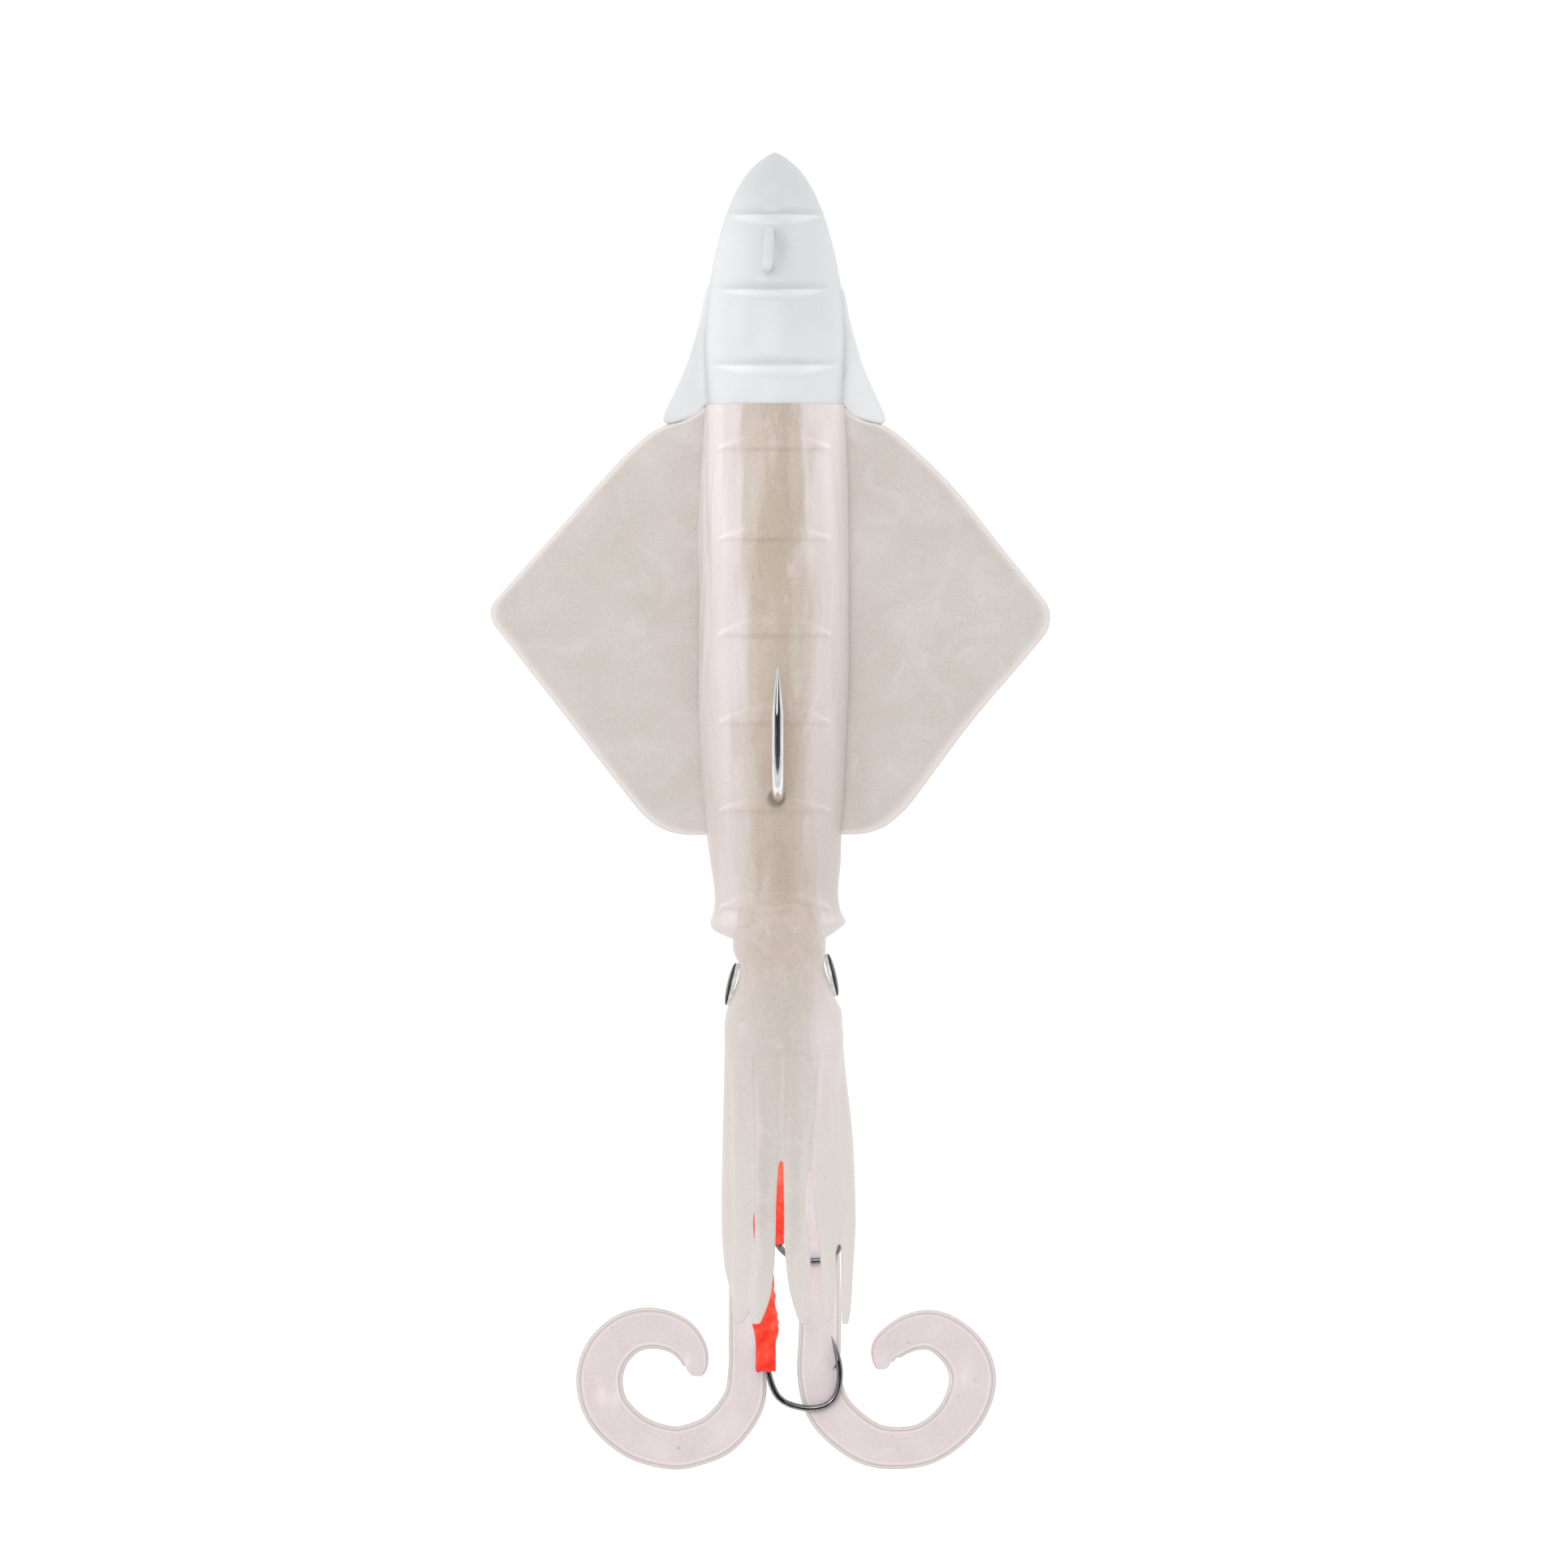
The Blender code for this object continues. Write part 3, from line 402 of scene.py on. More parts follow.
# Powder-coated lead: smooth white paint with slight orange peel and grey dust clouds, paler towards the rear;
# painted light from the left makes the left flank lighter than the middle, and painted shade darkens the nose
def leadPaint():
    look, tree, shader, place = newMaterial("powder_coated_lead", {
        "Roughness": 0.34, "IOR": 1.5, "Specular IOR Level": 0.4, "Coat Weight": 0.1, "Coat Roughness": 0.2,
    })
    parts = addNode(tree, "SeparateXYZ", {}, {"Vector": place}).node
    # Painted light from the left: lighter on the left flank, darker across the middle
    across = addNode(tree, "MapRange", {"From Min": -18.0, "From Max": 19.0}, {"Value": parts.outputs["X"]})
    colour = addNode(tree, "ValToRGB", {"stops": [
        (0.0, "#dddfe1"), (0.10, "#dee0e2"), (0.16, "#eaecee"), (0.27, "#e7e9eb"), (0.49, "#dcdee0"),
        (0.72, "#dddfe1"), (0.84, "#e0e2e4"), (0.90, "#e6e8ea"), (1.0, "#e6e8ea"),
    ]}, {"Fac": across})
    rear = addNode(
        tree, "MapRange", {"From Min": 94.0, "From Max": 80.0, "To Max": 0.5}, {"Value": parts.outputs["Y"]}
    )
    colour = addNode(tree, "MixRGB", {"Color2": "#eceef0"}, {"Fac": rear, "Color1": colour})
    # Painted shade at the nose tip
    nose = addNode(
        tree, "MapRange", {"From Min": 106.0, "From Max": 122.0, "To Max": 0.8}, {"Value": parts.outputs["Y"]}
    )
    colour = addNode(tree, "MixRGB", {"Color2": "#cbcdcf"}, {"Fac": nose, "Color1": colour})
    cloud = addNode(tree, "TexNoise", {"Scale": 1 / 6.0, "Detail": 4.0}, {"Vector": place})
    dust = addNode(tree, "ValToRGB", {"stops": [(0.45, 0.0), (0.8, 0.3)]}, {"Fac": cloud})
    colour = addNode(tree, "MixRGB", {"Color2": "#d9dbdd"}, {"Fac": dust, "Color1": colour})
    peel = addNode(tree, "TexNoise", {"Scale": 1 / 0.7, "Detail": 2.0}, {"Vector": place})
    finishCast(tree, shader, place, colour, peel, {
        "grainSize": 0.5, "grain": 0.03, "speckEvery": 2.4, "specks": 0.2, "bump": 0.03,
    })
    return look


# Nickel on carbon steel wire: a mirror with fine drawing marks along it, dark or bright
def nickelPlate(name, dark, bright):
    look, tree, shader, place = newMaterial(name, {"Metallic": 1.0})
    drawnOut = addNode(tree, "Mapping", {"Scale": (1.0, 0.2, 1.0)}, {"Vector": place})
    scuff = addNode(tree, "TexNoise", {"Scale": 1 / 0.8, "Detail": 3.0}, {"Vector": drawnOut})
    colour = addNode(tree, "ValToRGB", {"stops": [(0.3, dark), (0.7, bright)]}, {"Fac": scuff})
    rough = addNode(tree, "ValToRGB", {"stops": [(0.3, 0.08), (0.7, 0.18)]}, {"Fac": scuff})
    bump = addNode(tree, "Bump", {"Distance": 0.01 * mm}, {"Height": scuff})
    tree.links.new(colour, shader.inputs["Base Color"])
    tree.links.new(rough, shader.inputs["Roughness"])
    tree.links.new(bump, shader.inputs["Normal"])
    return look


# Fluorescent polyolefin heat-shrink tube: bright red, slightly wrinkled and satin, with a slight glow of
# painted light that also lifts it where it lies in shade under the arms
def redShrink():
    look, tree, shader, place = newMaterial("red_polyolefin_shrink", {
        "Roughness": 0.45, "IOR": 1.5, "Specular IOR Level": 0.3, "Emission Strength": 0.14,
    })
    cloud = addNode(tree, "TexNoise", {"Scale": 1 / 2.2, "Detail": 3.0}, {"Vector": place})
    colour = addNode(tree, "ValToRGB", {"stops": [
        (0.3, "#ea2816"), (0.5, "#f93f28"), (0.72, "#ff664c"),
    ]}, {"Fac": cloud})
    y = addNode(tree, "SeparateXYZ", {}, {"Vector": place}, "Y")
    # Paler on the upper sleeve's front part, forward of y -70
    palerFront = addNode(tree, "MapRange", {"From Min": -72.0, "From Max": -68.0, "To Max": 0.3}, {"Value": y})
    colour = addNode(tree, "MixRGB", {"Color2": "#ff9a88"}, {"Fac": palerFront, "Color1": colour})
    bump = addNode(tree, "Bump", {"Distance": 0.12 * mm}, {"Height": cloud})
    tree.links.new(colour, shader.inputs["Base Color"])
    # The glow in the tube's own colour is painted light
    tree.links.new(colour, shader.inputs["Emission Color"])
    tree.links.new(bump, shader.inputs["Normal"])
    return look


# The side of a stick-on eye: pale brushed foil under clear resin
def eyeFoil():
    look, tree, shader, place = newMaterial("brushed_silver_foil", {"Metallic": 0.25, "Roughness": 0.3})
    scuff = addNode(tree, "TexNoise", {"Scale": 1 / 1.2, "Detail": 2.0}, {"Vector": place})
    colour = addNode(tree, "ValToRGB", {"stops": [(0.3, "#cfd1d2"), (0.7, "#e9eaea")]}, {"Fac": scuff})
    tree.links.new(colour, shader.inputs["Base Color"])
    return look


# Black print under an epoxy dome: nearly black with a sharp wet shine
def eyePupil():
    look, tree, shader, place = newMaterial("black_print_under_epoxy", {
        "Roughness": 0.15, "IOR": 1.4, "Specular IOR Level": 0.12,
    })
    cloud = addNode(tree, "TexNoise", {"Scale": 1 / 1.5, "Detail": 2.0}, {"Vector": place})
    colour = addNode(tree, "ValToRGB", {"stops": [(0.3, "#2e2b29"), (0.7, "#403c39")]}, {"Fac": cloud})
    tree.links.new(colour, shader.inputs["Base Color"])
    return look


# Body axis and outline knots, y first
body = {
    "noseY": 121.9,
    "joinY": 75.2,
    "upShare": 0.94,
    "downShare": 0.97,
    "axis": ((-24, 11.4), (-10, 12.0), (30, 13.0), (75, 12.6), (100, 12.0), (122, 10.6)),
    "plateZ": 12.4,
    "flank": 13.0,
    "droop": 0.0010,
}

# Each fold is its rear y and its width, and the hole is where the main hook comes out
mantle = {
    "frontY": 75.15,
    "rearY": -23.7,
    "knots": (
        (-23.7, 1.4, 8.4), (-22.1, 0.9, 11.3), (-20.6, 1.35, 12.5), (-18.4, 1.2, 11.75),
        (-15.2, 1.05, 11.45), (-9.2, 0.9, 12.1), (-4, 0.6, 12.5), (2.8, 0.55, 13.05), (13, 0.3, 13.65),
        (26, 0.45, 14.05), (38, 0.45, 14.05), (54, 0.55, 13.95), (66, 0.7, 13.5), (74.9, 0.75, 12.95),
    ),
    "middleX": 0.75,
    "folds": ((67.0, 2.5), (50.3, 2.1), (32.6, 3.1), (16.4, 3.0), (0.2, 2.1), (-17.8, 2.8)),
    "foldReach": 10.3,
    "foldHeight": 0.34,
    "foldShade": {"behind": 0.35, "before": 0.1, "dark": 0.05, "light": 0.17},
    "rearShade": 0.03,
    "hole": (1.05, 2.2),
    "holeDepth": 0.7,
    "holeLip": 0.2,
    "holeLipRadius": 2.0,
    "holeShade": 0.28,
    "swells": ((0.10, 0.16, 0.05), (0.05, 0.7, 0.10)),  # height, and how often across and along
    "joinStep": 0.04,
    "around": 200,
    "along": 420,
    # Painted highlights on and near the flared rim, and one darker spot on the left edge
    "highlightsAndSpots": (
        (-13.8, 24.5, 0.8, 3.0, -0.06), (9.5, -17.5, 1.6, 2.2, 0.05),
        (-7.4, -19.2, 1.7, 1.2, 0.09), (10.5, -19.9, 1.7, 1.2, 0.08),
        (-8.5, -20.3, 1.4, 1.6, 0.05),
    ),
}


# A raised crescent across the back: straight at its rear, an arc towards the nose
def foldLift(x, y, rearY, width):
    off = (x - mantle["middleX"]) / mantle["foldReach"]
    if abs(off) >= 1:
        return 0.0
    bow = 1 - off * off
    t = (y - rearY) / (width * bow + 0.25)
    if t <= -0.3 or t >= 1.15:
        return 0.0
    rise = ease(t, -0.3, 0.12) * (1 - ease(t, 0.7, 1.15))
    return mantle["foldHeight"] * math.sqrt(bow) * rise * (1 - 0.45 * t)


def mantleSurface(turn, reach):
    y = mix(mantle["frontY"], mantle["rearY"], reach)
    x, halfWidth = valueAt(mantle["knots"], y)
    (z,) = valueAt(body["axis"], y)
    point = ovalPoint(turn, x, y, z, halfWidth, body["upShare"] * halfWidth, body["downShare"] * halfWidth)
    outward = Vector((point.x - x, 0, point.z - z)).normalized()
    lift = 0.0
    if point.z > z:
        for rearY, width in mantle["folds"]:
            lift += foldLift(point.x, y, rearY, width)
        fromHole = (point.xy - Vector(mantle["hole"])).length
        lift += mantle["holeLip"] * math.exp(-(((fromHole - mantle["holeLipRadius"]) / 0.5) ** 2))
        lift -= mantle["holeDepth"] * (1 - ease(fromHole, 0.9, 1.8))
    for swell, across, along in mantle["swells"]:
        lift += swell * noise.noise(Vector((point.x * across, y * along, point.z * across)))
    lift -= mantle["joinStep"] * (1 - ease(mantle["frontY"] - y, 0.0, 0.5))
    point += outward * lift
    point.z = max(point.z, 0.0)
    return point


# Painted shade behind each fold and a painted highlight on its front, the mantle's painted highlights and
# spots, painted shade towards the rear, and painted shade in and round the hook's hole
def mantleTone(point):
    (axisZ,) = valueAt(body["axis"], point.y)
    if point.z < axisZ:
        return 0.0
    tone = softMarks(point, (), mantle["highlightsAndSpots"]) - mantle["rearShade"] * ease(-point.y, -8.0, 8.0)
    off = (point.x - mantle["middleX"]) / mantle["foldReach"]
    if abs(off) < 1:
        bow = 1 - off * off
        shade = mantle["foldShade"]
        for rearY, width in mantle["folds"]:
            behind = (point.y - rearY + shade["behind"]) / 0.5
            before = (point.y - rearY - width * bow - shade["before"]) / 0.38
            tone -= shade["dark"] * (1 + off * off) * bow**0.3 * math.exp(-behind * behind)
            tone += shade["light"] * off * off * math.exp(-before * before)
    fromHole = (point.xy - Vector(mantle["hole"])).length
    tone -= mantle["holeShade"] * (1 - ease(fromHole, 0.9, 1.7)) + 0.08 * (1 - ease(fromHole, 1.5, 3.0))
    return tone


fins = {
    "left": (
        (-8, 75.0), (-12.6, 74.9), (-13.6, 73.9), (-16.6, 72.15), (-19.4, 71.4), (-22.4, 69.8),
        (-25.3, 67.4), (-28.3, 64.4), (-39, 52.4), (-49.7, 40.4), (-51.3, 38.5), (-51.75, 36.8),
        (-51.2, 34.6), (-48.8, 31.4), (-37.1, 16.4), (-25.4, 1.4), (-22.6, -1.6), (-19.6, -3.5),
        (-16.4, -4.3), (-12, -4.4), (-8, -4.4),
    ),
    "right": (
        (8, 75.0), (13.9, 74.9), (15.0, 73.7), (17.9, 72.15), (20.8, 71.4), (23.6, 69.7), (26.2, 67.4),
        (29.4, 64.4), (34.8, 58.8), (42.6, 49.0), (50.5, 39.2), (51.5, 37.4), (51.7, 35.5), (51.1, 33.2),
        (47.3, 28.4), (36.8, 16.0), (25.9, 1.4), (24.1, -0.5), (21.4, -2.7), (18.4, -3.9),
        (15.4, -4.3), (8, -4.2),
    ),
    "thickness": 2.2,
    "bead": 0.12,
    "beadWidth": 1.1,
    "rimWidth": 2.5,
    "wave": 0.12,
    "waveOften": 0.09,
    "around": 150,
    "along": 210,
    "flow": {
        "left": ((-27.5, 59.5), (-26.5, 51.8), (-23.2, 48.5), (-19.3, 45.2), (-18.5, 41.9), (-19.9, 38.3)),
        "right": ((34.1, 58.4), (34.7, 55.7), (34.1, 49.6), (32.5, 44.2), (31.0, 40.9), (30.8, 34.3)),
    },
}


plateRoot = 0.9  # how far out of the middle a plate starts, as a share of its outline's first x
rimTurns = (0.44, 0.56)  # the rim lies between these turns
rimRound = 0.8  # reach of the round rim as a share of half the thickness


# How far along turn and reach lie on a plate: its root, its way out, its width, and inset and z there
def platePlace(turn, reach, outline, thickness):
    lengths = [0.0]
    for a, b in zip(outline, outline[1:]):
        lengths.append(lengths[-1] + math.dist(a, b))
    knots = [(length / lengths[-1], *point) for length, point in zip(lengths, outline)]
    edge = Vector((*valueAt(knots, reach), 0))
    root = Vector((outline[0][0] * plateRoot, mix(outline[0][1], outline[-1][1], reach), 0))
    width = (edge - root).length
    half = thickness / 2
    flat = width - half * rimRound
    start, end = rimTurns
    if turn < start:
        inset, z = flat * turn / start, half
    elif turn > end:
        inset, z = flat * (1 - turn) / start, -half
    else:
        angle = math.pi * (turn - start) / (end - start)
        inset, z = flat + half * rimRound * math.sin(angle), half * math.cos(angle)
    return root, (edge - root) / width, width, inset, z


# A plate with a round rim: turn goes over the top, round the rim and back under
def platePoint(turn, reach, outline, thickness, bead, beadWidth):
    root, out, width, inset, z = platePlace(turn, reach, outline, thickness)
    half = thickness / 2
    flat = width - half * rimRound
    nearRim = ease(inset, flat - beadWidth, flat - 0.2) * (1 - ease(inset, flat + 0.2, flat + half))
    z += math.copysign(bead * nearRim, z)
    return root + out * inset + Vector((0, 0, z))


def finSurface(side):
    def surface(turn, reach):
        point = platePoint(turn, reach, fins[side], fins["thickness"], fins["bead"], fins["beadWidth"])
        beyond = max(0.0, abs(point.x) - body["flank"])
        point.z += body["plateZ"] - body["droop"] * beyond**2
        wave = noise.noise(Vector((point.x * fins["waveOften"], point.y * fins["waveOften"], 3.0)))
        point.z += fins["wave"] * wave
        return point
    return surface


lead = {
    "ogiveLength": 37.5,
    "ogiveHalfWidth": 13.1,
    "ogivePower": 0.571,
    "rearHalfWidth": 12.5,
    "axisX": 0.8,
    "steps": ((110.2, 2.4, 0.85, 9.2), (96.4, 2.1, 0.4, 10.5), (82.4, 2.4, 0.8, 12.3)),
    "dipLength": 1.7,
    "dipDepth": 0.4,
    "dipShade": 0.11,
    "lensHeight": 0.32,
    "lensShine": (0.06, 0.55),  # in the middle, and more towards the ends
    "flankShade": 0.06,
    "nubShare": 0.5,
    "nubLength": 1.2,
    # Strokes: painted shade in the creases where the wings meet the head; blobs: the line eye's painted
    # shadow to its right and a small darker spot near the nose
    "strokes": (
        (0.3, -0.07, ((-10.9, 98.0), (-12.1, 88.0), (-11.9, 76.0))),
        (0.3, -0.06, ((12.6, 98.0), (13.7, 88.0), (13.3, 76.0))),
        (0.25, -0.08, ((13.4, 82.6), (14.0, 81.6), (13.4, 80.0))),
    ),
    "blobs": ((2.0, 103.9, 1.3, 3.2, -0.09), (4.9, 115.2, 0.5, 1.0, -0.05)),
    "wings": (
        (
            (-6, 97.4), (-11.3, 97.4), (-13.2, 90.5), (-15.7, 82.3), (-19.6, 73.7), (-20.0, 72.2),
            (-19.3, 71.5), (-16.4, 72.1), (-14.0, 73.0), (-13.0, 74.1), (-12.2, 75.6), (-6, 75.6),
        ),
        (
            (7, 97.4), (12.8, 97.4), (14.8, 90.5), (17.2, 82.3), (21.0, 73.7), (21.4, 72.2),
            (20.7, 71.5), (17.7, 72.1), (15.3, 73.0), (14.4, 74.1), (13.6, 75.6), (7, 75.6),
        ),
    ),
    "wingThickness": 2.4,
    "voxel": 0.3,
}


def leadHalfWidth(y):
    behind = max(body["noseY"] - y, 0.02)
    if behind < lead["ogiveLength"]:
        share = (1 - (1 - behind / lead["ogiveLength"]) ** 2) ** lead["ogivePower"]
        share *= 1 - lead["nubShare"] * math.exp(-behind / lead["nubLength"])
        return lead["ogiveHalfWidth"] * share
    rear = (behind - lead["ogiveLength"]) / (body["noseY"] - body["joinY"] - lead["ogiveLength"])
    return mix(lead["ogiveHalfWidth"], lead["rearHalfWidth"], rear)


def leadSurface(turn, reach):
    length = body["noseY"] - body["joinY"] + 0.3
    y = body["noseY"] - length * (1 - math.cos(math.pi / 2 * reach))
    halfWidth = leadHalfWidth(y) if reach > 0 else 0.0
    (z,) = valueAt(body["axis"], y)
    return ovalPoint(
        turn, lead["axisX"], y, z, halfWidth, body["upShare"] * halfWidth, body["downShare"] * halfWidth
    )


def wingSurface(outline):
    def surface(turn, reach):
        point = platePoint(turn, reach, outline, lead["wingThickness"], 0.0, 0.5)
        point.z += body["plateZ"] - body["droop"] * max(0.0, abs(point.x) - body["flank"]) ** 2
        return point
    return surface


# Relief and painted light of the steps across the back: a soft dip with painted shade, a straight edge, then
# a raised lens with a painted highlight, brighter towards its ends
def stepRelief(point):
    for stepY, lens, middleX, reach in lead["steps"]:
        off = (point.x - middleX) / reach
        behind = stepY - point.y
        if abs(off) < 1 and -lead["dipLength"] < behind < lens + 0.3 and point.z > body["plateZ"]:
            bow = 1 - off * off
            lensEnd = lens * bow + 0.25
            dip = ease(behind, -lead["dipLength"], -0.1) * (1 - ease(behind, -0.1, 0.2))
            rise = ease(behind, -0.05, 0.3) * (1 - ease(behind, 0.5 * lensEnd, lensEnd))
            fade = math.sqrt(bow)
            height = fade * (lead["lensHeight"] * rise - lead["dipDepth"] * dip)
            middleShine, endShine = lead["lensShine"]
            shine = middleShine + endShine * off * off * bow
            return height, fade * (shine * rise - lead["dipShade"] * dip)
    return 0.0, 0.0


# Steps pressed into the back after the casting is even
def carveLead(bm):
    for vert in bm.verts:
        vert.co.z += stepRelief(vert.co / mm)[0] * mm


# Painted shade and highlights of the steps, the painted shade and shadow marked above, and painted shade
# along the edges of the flanks
def leadTone(point):
    tone = stepRelief(point)[1] + softMarks(point, lead["strokes"], lead["blobs"])
    side = abs(point.x - lead["axisX"]) / leadHalfWidth(point.y)
    return tone - lead["flankShade"] * ease(side, 0.9, 0.98) * (1 - ease(side, 1.0, 1.02))


head = {
    "knots": (
        (-64.5, 2.2, 5.0, 7.4, 13.0), (-60, 2.3, 7.2, 7.0, 14.7), (-55, 2.6, 8.8, 6.6, 15.9),
        (-51, 2.6, 9.9, 3.2, 16.9), (-47.5, 2.5, 10.6, 1.8, 17.8), (-43, 2.5, 11.0, 1.3, 18.8),
        (-39, 2.4, 10.9, 1.2, 19.5), (-36.6, 2.5, 10.55, 1.5, 19.9), (-34.4, 2.35, 9.5, 1.8, 20.4),
        (-31.0, 2.3, 8.3, 2.0, 21.1), (-28.5, 2.05, 7.8, 2.2, 21.8), (-26, 1.65, 8.5, 2.4, 22.7),
        (-23, 1.65, 8.6, 2.4, 23.6), (-20.5, 1.5, 8.75, 2.6, 24.0), (-18.4, 1.4, 8.3, 3.0, 23.5),
        (-17.0, 1.4, 7.6, 4.0, 22.7),
    ),
    "squareness": 3.2,
    "frontY": -17.0,
    "rearY": -64.5,
    "voxel": 0.34,
    # Strokes: light lines along the V on the neck, painted shade in the wrinkles by the left eye and in the
    # creases between the arms, and painted highlight lines beside them and along the middle seam
    "strokes": (
        (0.26, 0.10, ((-3.2, -23.4), (0.0, -26.6))), (0.26, 0.08, ((4.6, -24.7), (3.2, -26.8))),
        (0.3, -0.08, ((-5.0, -27.4), (-4.2, -29.6))), (0.3, -0.07, ((-5.2, -29.4), (-4.4, -31.8))),
        (0.22, -0.06, ((9.0, -45.0), (8.6, -48.0), (7.3, -63.0))),
        (0.5, 0.05, ((9.8, -45.0), (9.4, -48.0), (8.1, -63.0))), (0.3, 0.03, ((11.0, -47.0), (11.6, -63.0))),
        (0.22, -0.08, ((-3.2, -45.0), (-2.9, -65.0), (-2.9, -80.0))),
        (0.3, 0.08, ((2.2, -45.5), (2.0, -64.6))), (0.25, -0.05, ((3.2, -49.0), (2.6, -64.0))),
        (0.3, -0.03, ((-6.4, -60.0), (-6.6, -88.0))),
    ),
    # Blobs: painted shade behind the right eye, painted highlights on the crown's shoulders and by the middle
    # seam, and two brown mottles on the neck
    "blobs": (
        (10.0, -29.6, 0.8, 2.6, -0.12), (9.8, -40.2, 2.0, 3.0, 0.05), (-5.0, -40.5, 1.2, 1.6, 0.05),
        (2.8, -47.9, 1.3, 3.4, 0.03), (2.0, -19.3, 3.4, 1.8, -0.05), (3.4, -22.8, 1.6, 1.0, -0.05),
    ),
}
arms = {
    "L1": (
        (-94.9, -2.7, 0.7, 8.6, 0.6), (-93.3, -2.5, 1.3, 8.8, 0.9), (-90, -1.9, 1.8, 9.1, 1.2),
        (-86, -1.4, 1.9, 9.6, 1.5), (-80, -1.0, 1.88, 10.2, 1.8), (-72, -0.95, 2.0, 11.3, 2.2),
        (-65, -0.75, 2.25, 12.3, 2.5), (-56, -0.1, 3.0, 13.9, 2.9), (-47, 0.0, 3.1, 15.1, 3.1),
        (-41, 0.2, 3.1, 15.4, 3.0),
    ),
    "R1": (
        (-94.9, 6.1, 0.7, 8.2, 0.6), (-93, 6.0, 1.3, 8.4, 0.9), (-88.6, 5.45, 1.95, 8.9, 1.3),
        (-83.5, 5.1, 2.3, 9.5, 1.6), (-78.2, 4.8, 2.3, 10.3, 1.9), (-73, 4.45, 2.0, 11.1, 2.1),
        (-65, 4.75, 2.4, 12.3, 2.5), (-56, 5.2, 2.8, 13.9, 2.9), (-47, 5.6, 3.1, 15.1, 3.1),
        (-41, 5.4, 3.1, 15.4, 3.0),
    ),
    "L2": (
        (-94.7, -5.9, 0.9, 6.9, 0.6), (-91.3, -5.2, 2.0, 7.2, 1.1), (-84, -4.65, 2.25, 7.9, 1.6),
        (-75, -4.8, 2.1, 8.9, 2.1), (-60, -4.9, 2.4, 11.0, 2.9), (-47, -4.6, 2.9, 13.0, 3.5),
        (-41, -4.2, 3.0, 13.4, 3.6),
    ),
    "R2": (
        (-94.5, 10.6, 0.7, 6.2, 0.6), (-91, 10.6, 1.3, 6.5, 1.1), (-82.5, 10.6, 1.45, 7.4, 1.5),
        (-79.2, 10.65, 1.9, 7.8, 1.7), (-72, 10.7, 2.85, 8.9, 2.1), (-66, 10.5, 3.0, 10.0, 2.4),
        (-56, 10.1, 2.7, 11.6, 2.9), (-47, 9.6, 2.8, 13.0, 3.5), (-41, 9.2, 3.0, 13.4, 3.6),
    ),
    "L3": (
        (-92, -6.1, 0.5, 5.4, 0.6), (-88, -6.5, 1.2, 5.6, 1.2), (-84, -7.0, 1.6, 6.0, 1.8),
        (-75, -7.45, 1.7, 6.6, 2.4), (-60, -7.0, 1.9, 7.6, 3.3), (-47, -6.4, 2.2, 8.6, 4.2),
        (-41, -5.9, 2.6, 8.8, 4.6),
    ),
    "R3": (
        (-95.0, 13.8, 0.65, 5.9, 0.6), (-91, 14.0, 0.95, 6.1, 1.1), (-84, 14.2, 1.15, 6.4, 1.5),
        (-79.2, 14.35, 1.3, 6.7, 1.9), (-75, 14.15, 1.65, 7.0, 2.3), (-60, 13.2, 2.0, 7.8, 3.3),
        (-47, 11.6, 2.2, 8.6, 4.2), (-41, 10.7, 2.6, 8.8, 4.6),
    ),
    "L4": (
        (-86, -6.6, 0.5, 4.5, 0.6), (-75, -6.9, 1.5, 4.8, 1.4), (-60, -6.4, 2.0, 4.9, 1.9),
        (-47, -5.9, 2.4, 4.6, 2.6), (-41, -5.3, 2.6, 4.8, 2.8),
    ),
    "R4": (
        (-68, 14.0, 0.6, 5.2, 0.6), (-65, 13.8, 1.3, 5.2, 1.4), (-58, 12.9, 2.0, 5.0, 2.1),
        (-47, 11.2, 2.4, 4.6, 2.7), (-41, 10.2, 2.6, 4.8, 2.8),
    ),
}
armSquareness = 3.0


def headSurface(turn, reach):
    y = mix(head["frontY"], head["rearY"], reach)
    x, halfWidth, low, top = valueAt(head["knots"], y)
    half = (top - low) / 2
    return ovalPoint(turn, x, y, (low + top) / 2, halfWidth, half, half, head["squareness"])


def armSurface(knots):
    def surface(turn, reach):
        y = mix(knots[-1][0], knots[0][0], math.sin(math.pi / 2 * reach))
        x, halfWidth, z, halfHeight = valueAt(knots, y)
        return ovalPoint(turn, x, y, z, halfWidth, halfHeight, halfHeight, armSquareness)
    return surface


